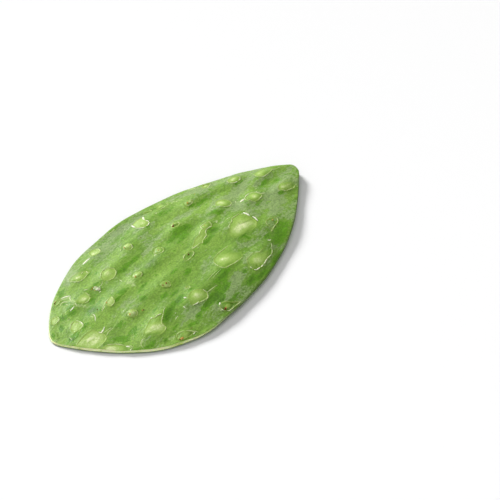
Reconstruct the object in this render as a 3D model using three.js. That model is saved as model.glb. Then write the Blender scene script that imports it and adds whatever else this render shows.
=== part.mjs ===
// A prickly pear pad: one flat joint of the stem, cut off at its narrow base, its spines shaved
// away with a knife and its edge trimmed. It lies on its belly.
// Millimetres. +X runs from the broad tip to the cut base, +Y across the pad, +Z up.
import * as THREE from "three";

// ---- Driving sizes -------------------------------------------------------------------------
const MARGIN_TOP = 4.6; // upper edge of the trimmed margin above the surface it lies on
const TIP_DIP = 2.8; // the margin comes down by this much at the broad tip, which touches
const DIP_START = 45; // how far out toward the tip it starts to come down, and is down
const DIP_END = 92;
const TIP_THICKNESS = 1.4; // trimmed margin, top to bottom, at the broad tip
const SIDE_THICKNESS = 1.7; // along the sides
const BASE_THICKNESS = 3; // and at the cut base
const CROWN_UP = 3.6; // how far the middle of the upper face stands above the margin
const CROWN_DOWN = 4; // how far the belly would sink below the margin if it could
const CROWN_CENTRE = -4; // x of the thickest place
const CROWN_HALF_LENGTH = 110; // half axes of the oval on which both crowns have faded out
const CROWN_HALF_WIDTH = 54;
const EDGE_ROUND = 5; // distance in from the margin over which the faces round off
const FOLD_LIFT = 1.5; // every fold's height is multiplied by this
const BEVEL_OUT = 0.35; // the cut edge slants out this far beyond the upper edge
const TIP_BEVEL = 0.4; // and this much further along one side of the broad tip
const BEVEL_DROP = 0.72; // its widest place, as a share of the way down
const LOWER_LOOP_OUT = 0.35; // the lower edge lies out by this share of the slant

const LOOP_POINTS = 230; // vertices along the margin
const OPEN_SPACING = 5.0; // vertex spacing on plain skin
const RING_SPACING = 1.8; // vertex spacing round a mark
const SKIN_GREEN = 0x7aa23d;

// The margin seen from above, clockwise from the cut base: gentle knife strokes, so only the
// places where one stroke gives way to the next are listed, and a spline runs through them.
const MARGIN = [
  [106.2, 3.4], [108, 1.3], [108, -1.6], [104.9, -6.6], [103, -8.2], [83, -20.5], [65, -30.5],
  [42, -40.5], [13, -48], [-12, -51], [-32, -51.5], [-49, -50], [-62, -45], [-76, -36],
  [-87.5, -24], [-96, -10], [-102.6, 4], [-105.4, 14], [-104.4, 18.2], [-96.8, 26.1],
  [-84, 35.2], [-68, 42.5], [-46.1, 49.9], [-30.2, 51.6], [-8.4, 52.3], [3.2, 51.2], [9.2, 49],
  [12.4, 49], [20.5, 46.8], [23.1, 43.4], [29.3, 44.4], [44.6, 40.1], [55.7, 34], [61.8, 31],
  [81.7, 21.7], [98.6, 10.2],
];

// Areoles of the upper face, in the slanting rows in which they grew. Each is
// [x, y, half length, half width, turn in degrees, rise, side on which the skin is lifted].
// A positive rise is a swelling that the knife has sliced flat, a negative one a whole knob.
const UPPER_AREOLES = [
  [-80.5, 34, 2.4, 1.5, 30, 0.3, 180], [-57, 38, 5.6, 3.6, 0, 0.7, -90],
  [-34.5, 45, 4.3, 3.7, 0, 0.6, -30], [-12, 51.7, 2.2, 1.3, 0, 0.2, -90],
  [-92.5, 26, 3.3, 2.6, 35, 0.5, -40], [-70, 23, 4.6, 3.6, 0, 0.7, -40],
  [-47, 24.5, 5.1, 4.6, 0, 0.7, -60], [-20.8, 30.5, 3.1, 2.7, 0, -0.7, -50],
  [2, 38.8, 4.2, 4, 0, 0.7, 215], [24, 40.8, 3.3, 3, 0, 0.5, -90],
  [-90.5, 13, 4.3, 3.8, 0, 0.7, 0], [-65.6, 6.8, 3.2, 2.3, 20, 0.6, -80],
  [-38.5, 9, 2.9, 2.7, 0, -0.6, -30], [-13.6, 12.7, 3.2, 2.8, 0, -0.5, -60],
  [11, 20.4, 2.4, 2, 0, -0.7, -60], [34, 26.8, 3.1, 1.9, 0, -0.5, -50],
  [56, 31, 3.5, 2.3, -15, 0.5, -40], [-94.5, -2.7, 7.3, 5.6, 0, 0.9, 70],
  [-65.7, -8.3, 2.8, 2.7, 0, -0.9, -50], [-36.5, -9.4, 2.9, 2.5, 0, -0.5, -20],
  [-7.3, -3.9, 4.2, 2.4, 0, 0.4, 240], [20.3, 3.5, 3.8, 2.7, 0, 0.5, -90],
  [45.3, 10, 4.7, 4.3, 0, 0.9, -80], [71, 19.6, 4.7, 3, 0, 0.8, -60],
  [-91.5, -14.5, 6.2, 2.6, -53, 0.6, 20], [-67.8, -25.2, 6, 5.7, 0, 0.9, -70],
  [-34.4, -29, 5.8, 5.2, 0, 0.8, -80], [2.5, -24.2, 8.4, 6.5, 0, 1.1, -130],
  [33.2, -11.7, 9.4, 6.6, 0, 1.4, 160], [62, -1.8, 5.2, 4, 0, 0.9, 90],
  [86, 10.2, 4.8, 3.4, 0, 0.8, 180], [-60.5, -40.8, 4.6, 3, -15, -0.5, 90],
  [-29, -46, 4.2, 3.4, 0, -0.5, 220], [15, -37.8, 8.2, 5, 8, 1, 190],
  [49.3, -24.7, 4.9, 3.1, 5, 0.6, 150], [82.4, -9.8, 4.3, 3.2, 0, 0.8, -90],
  [-31, -20.7, 1.7, 1.6, 0, 0.3, 20],
];

// Other marks of the knife on the upper face, written the same way: long facets that run off
// the base end, a strip of skin peeled from an areole, a torn scab and a nick in the edge.
const UPPER_CUTS = [
  [96, 7.3, 8, 2.4, -28, 0.4, -100], [91.5, -10.3, 6, 2.2, 6, 0.3, 90],
  [8, -0.6, 8.5, 1.9, 16, 0.3, -70], [-60.3, 21.4, 1.8, 2.6, 0, -0.7, 90],
  [14, 44.3, 4.5, 1.6, -35, 0.2, -60], [27, -39, 6, 1.8, 35, 0.3, -60],
];

// Soft folds of the upper face that join the areoles lengthwise:
// [x, y, half length, half width, turn in degrees, height].
const FOLDS = [
  [14, 38, 17, 5, -4, 0.7], [-8, 31, 17, 5, 2, 0.55], [-36, 26, 15, 4.5, 0, 0.5],
  [41, 26, 18, 4.5, -6, 0.95], [12, 17.5, 20, 4.5, 0, 0.85], [-22, 7.5, 26, 4.5, 3, 0.7],
  [36, 8.5, 13, 4.5, -8, 0.9], [20, 3.5, 15, 3.6, 10, 0.7], [84, 7, 16, 4.5, -6, 1],
  [68, 19, 16, 5, -16, 0.7], [60, -3, 17, 4.5, -3, 0.8], [-56, -21, 14, 4.5, 12, 0.45],
  [-64, 8, 18, 4.5, 0, 0.5], [-40, -7, 18, 4.5, 2, 0.5], [5, -7, 20, 4.5, 2, 0.5],
  [33, -11, 20, 6.5, 2, 0.6], [4, -24, 20, 6, 4, 0.6], [-34, -29, 17, 5, 4, 0.5],
  [60, 33, 12, 3.5, -24, 0.6], [82, -9, 14, 4.5, 8, 0.7], [44, -24, 18, 5, 10, 0.5],
  [-82, 24, 13, 4.5, 10, 0.4], [-60, 38, 14, 4.5, 14, 0.4], [15, -37, 18, 5, 9, 0.5],
];

// The lower face carries the same rows by rule: a lattice with every second row shifted.
const LOWER_ROW_STEP = 19;
const LOWER_COLUMN_STEP = 27;
const LOWER_JITTER = 3.5;
const LOWER_MARGIN_GAP = 7; // no areole centre nearer the margin than this
const SEED = 20417;

// ---- Small helpers -------------------------------------------------------------------------
function seededRandom(seed) {
  let state = seed;
  return () => {
    state = (state * 1664525 + 1013904223) % 4294967296;
    return state / 4294967296;
  };
}

function smooth(from, to, value) {
  return THREE.MathUtils.smoothstep(value, from, to);
}

// Signed distance from a point to a closed loop, positive inside.
function insideBy(loop, x, y) {
  let inside = false;
  let nearest = Infinity;
  for (let i = 0; i < loop.length; i++) {
    const a = loop[i];
    const b = loop[(i + 1) % loop.length];
    if (a.y > y !== b.y > y && x < a.x + ((b.x - a.x) * (y - a.y)) / (b.y - a.y)) {
      inside = !inside;
    }
    const along = (x - a.x) * (b.x - a.x) + (y - a.y) * (b.y - a.y);
    const lengthSquared = (b.x - a.x) ** 2 + (b.y - a.y) ** 2;
    const t = THREE.MathUtils.clamp(along / lengthSquared, 0, 1);
    const gap = Math.hypot(x - a.x - t * (b.x - a.x), y - a.y - t * (b.y - a.y));
    nearest = Math.min(nearest, gap);
  }
  return inside ? nearest : -nearest;
}

// ---- Form of the pad -----------------------------------------------------------------------
function areole([x, y, halfLength, halfWidth, turn, rise, lipSide]) {
  const angle = THREE.MathUtils.degToRad(turn);
  const lip = THREE.MathUtils.degToRad(lipSide);
  return { x, y, halfLength, halfWidth, angle, rise, lip };
}

// Height that one areole adds to the skin: a swelling, sliced flat with a lifted edge of skin
// on one side, or the knob that is left, with a groove round it.
function areoleRelief(mark, x, y) {
  const dx = x - mark.x;
  const dy = y - mark.y;
  if (Math.hypot(dx, dy) > 2.7 * Math.max(mark.halfLength, mark.halfWidth)) return 0;
  const u = dx * Math.cos(mark.angle) + dy * Math.sin(mark.angle);
  const v = dy * Math.cos(mark.angle) - dx * Math.sin(mark.angle);
  const turn = Math.atan2(v / mark.halfWidth, u / mark.halfLength);
  const wobble = 1 + 0.07 * Math.sin(3 * turn + mark.x) + 0.04 * Math.sin(5 * turn + mark.y);
  const r = Math.hypot(u / mark.halfLength, v / mark.halfWidth) / wobble;
  const beyond = (r - 1) * Math.sqrt(mark.halfLength * mark.halfWidth);
  const rise = Math.abs(mark.rise);
  const swelling = rise * Math.exp(-((r / 1.5) ** 2)) * (1 - smooth(1.8, 2.6, r));
  const facing = smooth(-0.4, 0.5, Math.cos(Math.atan2(dy, dx) - mark.lip));
  const lip = 0.14 * facing * Math.exp(-(((beyond - 0.3) / 0.3) ** 2));
  if (mark.rise < 0) {
    const knob = 0.6 * rise * (1 - smooth(0.35, 1.0, r));
    const moat = 0.24 * Math.exp(-(((r - 1.12) / 0.18) ** 2));
    return swelling + knob - moat + 0.6 * lip;
  }
  const sliceTop = rise * (0.94 - 0.26 * r * r) - 0.13 * facing;
  const edge = 0.55 + 0.33 * facing;
  return swelling + (sliceTop - swelling) * (1 - smooth(edge, 1.03, r)) + lip;
}

// Fine lengthwise ridges of the skin over the fibres.
function ripple(x, y) {
  const drift = 4 * Math.sin(x / 31 + 0.7);
  const fine = 0.13 * Math.sin((y + drift) / 2.7 + Math.sin(x / 23));
  const broad = 0.2 * Math.sin((y - 0.5 * drift) / 5.1 + x / 55 + 1.9);
  return fine + broad + 0.16 * Math.sin(x / 12.5 + y / 9 + 0.4);
}

function folds(x, y) {
  let z = 0;
  for (const [cx, cy, halfLength, halfWidth, turn, height] of FOLDS) {
    const angle = THREE.MathUtils.degToRad(turn);
    const u = (x - cx) * Math.cos(angle) + (y - cy) * Math.sin(angle);
    const v = (y - cy) * Math.cos(angle) - (x - cx) * Math.sin(angle);
    z += FOLD_LIFT * height * Math.exp(-((u / halfLength) ** 2) - (v / halfWidth) ** 2);
  }
  return z;
}

function crown(x, y) {
  const along = (x - CROWN_CENTRE) / CROWN_HALF_LENGTH;
  const across = y / CROWN_HALF_WIDTH;
  return Math.max(0, 1 - along * along - across * across);
}

// How far the crown has risen at a distance in from the margin.
function rounding(gap) {
  return 1 - Math.exp(-Math.max(0, gap) / EDGE_ROUND);
}

// Height of the margin: the broad tip dips to the surface that the pad lies on.
function level(x, y) {
  return MARGIN_TOP - TIP_DIP * smooth(DIP_START, DIP_END, -0.9 * x - 0.45 * y);
}

// The whole pad is gently twisted and waved, as a pad that grew on one side in shade.
function warp(x, y) {
  return 0.5 * Math.sin(x / 34 + 0.8) * (y / 50) + 0.35 * Math.sin(x / 40 - 0.6);
}

function marginThickness(x) {
  const side = TIP_THICKNESS + (SIDE_THICKNESS - TIP_THICKNESS) * smooth(-70, 20, x);
  return side + (BASE_THICKNESS - SIDE_THICKNESS) * smooth(75, 108, x);
}

function upperHeight(x, y, gap, marks) {
  let z = level(x, y) + CROWN_UP * crown(x, y) * rounding(gap) + warp(x, y) + ripple(x, y);
  z += folds(x, y) * (0.4 + 0.6 * rounding(gap));
  for (const mark of marks) z += areoleRelief(mark, x, y);
  return z;
}

// The belly is pressed flat where it lies, so nothing of it is below zero.
function lowerHeight(x, y, gap, marks) {
  const drop = CROWN_DOWN * crown(x, y) * rounding(gap) + marginThickness(x);
  let z = level(x, y) - drop + warp(x, y) * (1 - crown(x, y));
  z += 0.6 * ripple(-x, y + 11) * rounding(gap) * (1 - smooth(0.7, 0.98, crown(x, y)));
  for (const mark of marks) z -= areoleRelief(mark, x, y);
  return Math.max(0, z);
}

function marginLoop() {
  const corners = MARGIN.map(([x, y]) => new THREE.Vector3(x, y, 0));
  const spline = new THREE.CatmullRomCurve3(corners, true, "centripetal");
  return spline.getSpacedPoints(LOOP_POINTS).slice(0, LOOP_POINTS).reverse();
}

// The loop moved out by a share of the cut edge's slant, unevenly, as the knife went.
function shiftedLoop(loop, share) {
  return loop.map((point, i) => {
    const before = loop[(i + loop.length - 2) % loop.length];
    const after = loop[(i + 2) % loop.length];
    const normal = new THREE.Vector2(after.y - before.y, before.x - after.x).normalize();
    const uneven = 1 + 0.35 * Math.sin(i * 0.19) + 0.2 * Math.sin(i * 0.47 + 1);
    const besideTip = (1 - smooth(-72, -48, point.x)) * (1 - smooth(-8, 10, point.y));
    const out = share * uneven * (BEVEL_OUT + TIP_BEVEL * besideTip);
    return new THREE.Vector3(point.x + normal.x * out, point.y + normal.y * out, 0);
  });
}

function lowerAreoles(loop) {
  const random = seededRandom(SEED);
  const marks = [];
  for (let row = -3; row <= 3; row++) {
    for (let column = -4; column <= 4; column++) {
      const shift = row % 2 === 0 ? 0 : LOWER_COLUMN_STEP / 2;
      const x = column * LOWER_COLUMN_STEP + shift + LOWER_JITTER * (2 * random() - 1);
      const y = row * LOWER_ROW_STEP - 0.12 * x + LOWER_JITTER * (2 * random() - 1);
      const halfLength = 2.6 + 3.4 * random();
      const halfWidth = halfLength * (0.6 + 0.25 * random());
      const rise = random() < 0.3 ? -0.6 : 0.5 + 0.5 * random();
      const lipSide = 360 * random();
      if (insideBy(loop, x, y) < LOWER_MARGIN_GAP) continue;
      marks.push(areole([x, y, halfLength, halfWidth, 0, rise, lipSide]));
    }
  }
  return marks;
}

// ---- Skin as triangles ---------------------------------------------------------------------
// Vertices of one face: the margin, then rings round each mark, then an open lattice.
function scatter(loop, marks) {
  const points = loop.map((point) => new THREE.Vector2(point.x, point.y));
  const random = seededRandom(SEED + 1);
  const place = (x, y, clearance, edgeGap) => {
    if (insideBy(loop, x, y) < edgeGap) return;
    const crowded = points.some((p) => Math.hypot(p.x - x, p.y - y) < clearance);
    if (!crowded) points.push(new THREE.Vector2(x, y));
  };
  for (const mark of marks) {
    for (const ring of [1.0, 1.14, 0.82, 1.45, 0.42, 0]) {
      const around = 2 * Math.PI * ring * Math.sqrt(mark.halfLength * mark.halfWidth);
      const count = ring === 0 ? 1 : Math.max(7, Math.round(around / RING_SPACING));
      for (let i = 0; i < count; i++) {
        const turn = ((i + ring) / count) * 2 * Math.PI;
        const u = ring * mark.halfLength * Math.cos(turn);
        const v = ring * mark.halfWidth * Math.sin(turn);
        const x = mark.x + u * Math.cos(mark.angle) - v * Math.sin(mark.angle);
        const y = mark.y + u * Math.sin(mark.angle) + v * Math.cos(mark.angle);
        place(x, y, 0.42 * Math.min(RING_SPACING, mark.halfWidth), 1.1);
      }
    }
  }
  const rowStep = OPEN_SPACING * Math.sin(Math.PI / 3);
  for (let row = -12; row <= 12; row++) {
    for (let column = -24; column <= 24; column++) {
      const x = (column + (row % 2 ? 0.5 : 0)) * OPEN_SPACING + 0.8 * (random() - 0.5);
      const y = row * rowStep + 0.8 * (random() - 0.5);
      place(x, y, 0.6 * OPEN_SPACING, 2.0);
    }
  }
  return points;
}

function circumcircle(points, a, b, c) {
  const { x: ax, y: ay } = points[a];
  const bx = points[b].x - ax;
  const by = points[b].y - ay;
  const cx = points[c].x - ax;
  const cy = points[c].y - ay;
  const d = 2 * (bx * cy - by * cx);
  const ux = (cy * (bx * bx + by * by) - by * (cx * cx + cy * cy)) / d;
  const uy = (bx * (cx * cx + cy * cy) - cx * (bx * bx + by * by)) / d;
  return { a, b, c, x: ax + ux, y: ay + uy, radiusSquared: ux * ux + uy * uy };
}

// Delaunay triangles by adding one point at a time, then dropping those outside the margin.
// All are wound anticlockwise as seen from above.
function triangulate(loop, points) {
  const far = 1000;
  const all = [...points];
  all.push(new THREE.Vector2(-far, -far), new THREE.Vector2(far, -far));
  all.push(new THREE.Vector2(0, far));
  const first = points.length;
  let triangles = [circumcircle(all, first, first + 1, first + 2)];
  for (let i = 0; i < first; i++) {
    const open = new Map();
    const kept = [];
    for (const t of triangles) {
      const gap = (all[i].x - t.x) ** 2 + (all[i].y - t.y) ** 2;
      if (gap > t.radiusSquared) {
        kept.push(t);
        continue;
      }
      for (const [from, to] of [[t.a, t.b], [t.b, t.c], [t.c, t.a]]) {
        const twin = `${to},${from}`;
        if (!open.delete(twin)) open.set(`${from},${to}`, [from, to]);
      }
    }
    for (const [from, to] of open.values()) kept.push(circumcircle(all, from, to, i));
    triangles = kept;
  }
  return triangles.filter(({ a, b, c }) => {
    if (Math.max(a, b, c) >= first) return false;
    const x = (all[a].x + all[b].x + all[c].x) / 3;
    const y = (all[a].y + all[b].y + all[c].y) / 3;
    return insideBy(loop, x, y) > 0;
  });
}

// ---- The pad -------------------------------------------------------------------------------
function padGeometry() {
  const upperLoop = marginLoop();
  const cutLoop = shiftedLoop(upperLoop, 1);
  const lowerLoop = shiftedLoop(upperLoop, LOWER_LOOP_OUT);
  const upperMarks = [...UPPER_AREOLES, ...UPPER_CUTS].map(areole);
  const lowerMarks = lowerAreoles(lowerLoop);
  const upperPoints = scatter(upperLoop, upperMarks);
  const lowerPoints = scatter(lowerLoop, lowerMarks);

  const positions = [];
  const indices = [];
  for (const { x, y } of upperPoints) {
    positions.push(x, y, upperHeight(x, y, insideBy(upperLoop, x, y), upperMarks));
  }
  for (const { a, b, c } of triangulate(upperLoop, upperPoints)) indices.push(a, b, c);

  const lowerStart = positions.length / 3;
  for (const { x, y } of lowerPoints) {
    positions.push(x, y, lowerHeight(x, y, insideBy(lowerLoop, x, y), lowerMarks));
  }
  for (const { a, b, c } of triangulate(lowerLoop, lowerPoints)) {
    indices.push(lowerStart + a, lowerStart + c, lowerStart + b);
  }

  const cutStart = positions.length / 3;
  cutLoop.forEach(({ x, y }, i) => {
    const top = positions[3 * i + 2];
    const bottom = positions[3 * (lowerStart + i) + 2];
    positions.push(x, y, top + BEVEL_DROP * (bottom - top));
  });
  for (const [above, below] of [[0, cutStart], [cutStart, lowerStart]]) {
    for (let i = 0; i < LOOP_POINTS; i++) {
      const next = (i + 1) % LOOP_POINTS;
      indices.push(above + i, below + i, above + next);
      indices.push(above + next, below + i, below + next);
    }
  }

  const geometry = new THREE.BufferGeometry();
  geometry.setAttribute("position", new THREE.Float32BufferAttribute(positions, 3));
  geometry.setIndex(indices);
  geometry.computeBoundingBox();
  const middle = geometry.boundingBox.getCenter(new THREE.Vector3());
  geometry.translate(-middle.x, -middle.y, -geometry.boundingBox.min.z);
  geometry.computeVertexNormals();
  return geometry;
}

const skin = new THREE.MeshStandardMaterial({ color: SKIN_GREEN, roughness: 0.5, metalness: 0 });
const pad = new THREE.Mesh(padGeometry(), skin);
pad.name = "pad";

const cactusPad = new THREE.Group();
cactusPad.add(pad);
export default cactusPad;
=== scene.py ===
# A prickly pear pad: its skin, knife scars, trimmed margin, flaps of skin and spine stubs.
# The forms repeat the named values of the part's own source, so they are in millimetres in the
# pad's plan: +X runs from the broad tip to the cut base and +Z is up. MM turns them to metres.
import math
from collections import namedtuple
from functools import cached_property

import bpy
import numpy as np
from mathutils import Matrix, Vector
from mathutils.geometry import delaunay_2d_cdt


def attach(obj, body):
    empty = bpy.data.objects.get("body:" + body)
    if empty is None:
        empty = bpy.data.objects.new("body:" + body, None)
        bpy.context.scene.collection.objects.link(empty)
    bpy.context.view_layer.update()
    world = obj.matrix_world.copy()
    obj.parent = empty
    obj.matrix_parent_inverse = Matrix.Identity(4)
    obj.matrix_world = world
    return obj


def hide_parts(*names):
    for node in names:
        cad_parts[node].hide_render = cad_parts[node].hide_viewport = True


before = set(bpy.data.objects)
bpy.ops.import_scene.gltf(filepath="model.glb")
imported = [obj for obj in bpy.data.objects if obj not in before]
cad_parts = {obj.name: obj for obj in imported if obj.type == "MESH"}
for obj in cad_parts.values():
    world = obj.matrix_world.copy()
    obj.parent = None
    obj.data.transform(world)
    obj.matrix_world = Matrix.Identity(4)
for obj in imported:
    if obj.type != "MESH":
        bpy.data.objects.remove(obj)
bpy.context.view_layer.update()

MM = 0.001

# ---- Driving sizes, as in the part's source ---------------------------------------------------
MARGIN_TOP = 4.6
TIP_DIP = 2.8
DIP_START = 45
DIP_END = 92
TIP_THICKNESS = 1.4
SIDE_THICKNESS = 1.7
BASE_THICKNESS = 3
CROWN_UP = 3.6
CROWN_DOWN = 4
CROWN_CENTRE = -4
CROWN_HALF_LENGTH = 110
CROWN_HALF_WIDTH = 54
EDGE_ROUND = 5
FOLD_LIFT = 1.5
BEVEL_OUT = 0.35
TIP_BEVEL = 0.4
BEVEL_DROP = 0.72
LOWER_LOOP_OUT = 0.35
SOURCE_LOOP_POINTS = 230
SWELLING_REACH = 1.5  # how far a swelling spreads, in radii of its mark
KNOB_HEIGHT = 0.6  # a knob over its swelling, as a share of its mark's rise
MOAT_DEPTH = 0.24  # the groove round a knob
FLAP_LIFT = 0.14  # the lifted skin on one side of a slice
FLAP_SINK = 0.13  # and how much deeper the slice is there
FINE_RIPPLE = 0.13  # heights of the lengthwise ridges over the fibres
BROAD_RIPPLE = 0.2
SWAY = 0.16
TWIST = 0.5
WAVE = 0.35
LOWER_ROW_STEP = 19
LOWER_COLUMN_STEP = 27
LOWER_JITTER = 3.5
LOWER_MARGIN_GAP = 7
SEED = 20417

# The trimmed margin's upper edge, from the base round by the near side and the broad tip.
MARGIN = [
    (106.2, 3.4), (108, 1.3), (108, -1.6), (104.9, -6.6), (103, -8.2), (83, -20.5), (65, -30.5),
    (42, -40.5), (13, -48), (-12, -51), (-32, -51.5), (-49, -50), (-62, -45), (-76, -36),
    (-87.5, -24), (-96, -10), (-102.6, 4), (-105.4, 14), (-104.4, 18.2), (-96.8, 26.1),
    (-84, 35.2), (-68, 42.5), (-46.1, 49.9), (-30.2, 51.6), (-8.4, 52.3), (3.2, 51.2),
    (9.2, 49), (12.4, 49), (20.5, 46.8), (23.1, 43.4), (29.3, 44.4), (44.6, 40.1), (55.7, 34),
    (61.8, 31), (81.7, 21.7), (98.6, 10.2),
]

# An areole or a mark of the knife: its middle, half length, half width, turn in degrees, rise,
# and the direction in degrees in which a lifted edge of skin lies. The upper face's marks have
# none, because their edges follow the slices' own outlines below.
# A positive rise is a swelling that the knife has sliced flat, a negative one a whole knob.
Mark = namedtuple("Mark", "x y half_length half_width turn rise lip", defaults=(None,))

# The areoles of the upper face, in the slanting rows in which they grew.
UPPER_AREOLES = [
    (-80.5, 34, 2.4, 1.5, 30, 0.3), (-57, 38, 5.6, 3.6, 0, 0.7), (-34.5, 45, 4.3, 3.7, 0, 0.6),
    (-12, 51.7, 2.2, 1.3, 0, 0.2),
    (-92.5, 26, 3.3, 2.6, 35, 0.5), (-70, 23, 4.6, 3.6, 0, 0.7), (-47, 24.5, 5.1, 4.6, 0, 0.7),
    (-20.8, 30.5, 3.1, 2.7, 0, -0.7), (2, 38.8, 4.2, 4, 0, 0.7), (24, 40.8, 3.3, 3, 0, 0.5),
    (-90.5, 13, 4.3, 3.8, 0, 0.7), (-65.6, 6.8, 3.2, 2.3, 20, 0.6), (-38.5, 9, 2.9, 2.7, 0, -0.6),
    (-13.6, 12.7, 3.2, 2.8, 0, -0.5), (11, 20.4, 2.4, 2, 0, -0.7), (34, 26.8, 3.1, 1.9, 0, -0.5),
    (56, 31, 3.5, 2.3, -15, 0.5),
    (-94.5, -2.7, 7.3, 5.6, 0, 0.9), (-65.7, -8.3, 2.8, 2.7, 0, -0.9),
    (-36.5, -9.4, 2.9, 2.5, 0, -0.5), (-7.3, -3.9, 4.2, 2.4, 0, 0.4), (20.3, 3.5, 3.8, 2.7, 0, 0.5),
    (45.3, 10, 4.7, 4.3, 0, 0.9), (71, 19.6, 4.7, 3, 0, 0.8),
    (-91.5, -14.5, 6.2, 2.6, -53, 0.6), (-67.8, -25.2, 6, 5.7, 0, 0.9),
    (-34.4, -29, 5.8, 5.2, 0, 0.8), (2.5, -24.2, 8.4, 6.5, 0, 1.1), (33.2, -11.7, 9.4, 6.6, 0, 1.4),
    (62, -1.8, 5.2, 4, 0, 0.9), (86, 10.2, 4.8, 3.4, 0, 0.8),
    (-60.5, -40.8, 4.6, 3, -15, -0.5), (-29, -46, 4.2, 3.4, 0, -0.5), (15, -37.8, 8.2, 5, 8, 1),
    (49.3, -24.7, 4.9, 3.1, 5, 0.6), (82.4, -9.8, 4.3, 3.2, 0, 0.8), (-31, -20.7, 1.7, 1.6, 0, 0.3),
]

# Other marks of the knife on the upper face: the long facets that run off the base end, a
# strip of skin peeled from an areole, a torn scab and nicks in the edge.
UPPER_CUTS = [
    (96, 7.3, 8, 2.4, -28, 0.4), (91.5, -10.3, 6, 2.2, 6, 0.3), (8, -0.6, 8.5, 1.9, 16, 0.3),
    (-60.3, 21.4, 1.8, 2.6, 0, -0.7), (14, 44.3, 4.5, 1.6, -35, 0.2), (27, -39, 6, 1.8, 35, 0.3),
]

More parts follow.
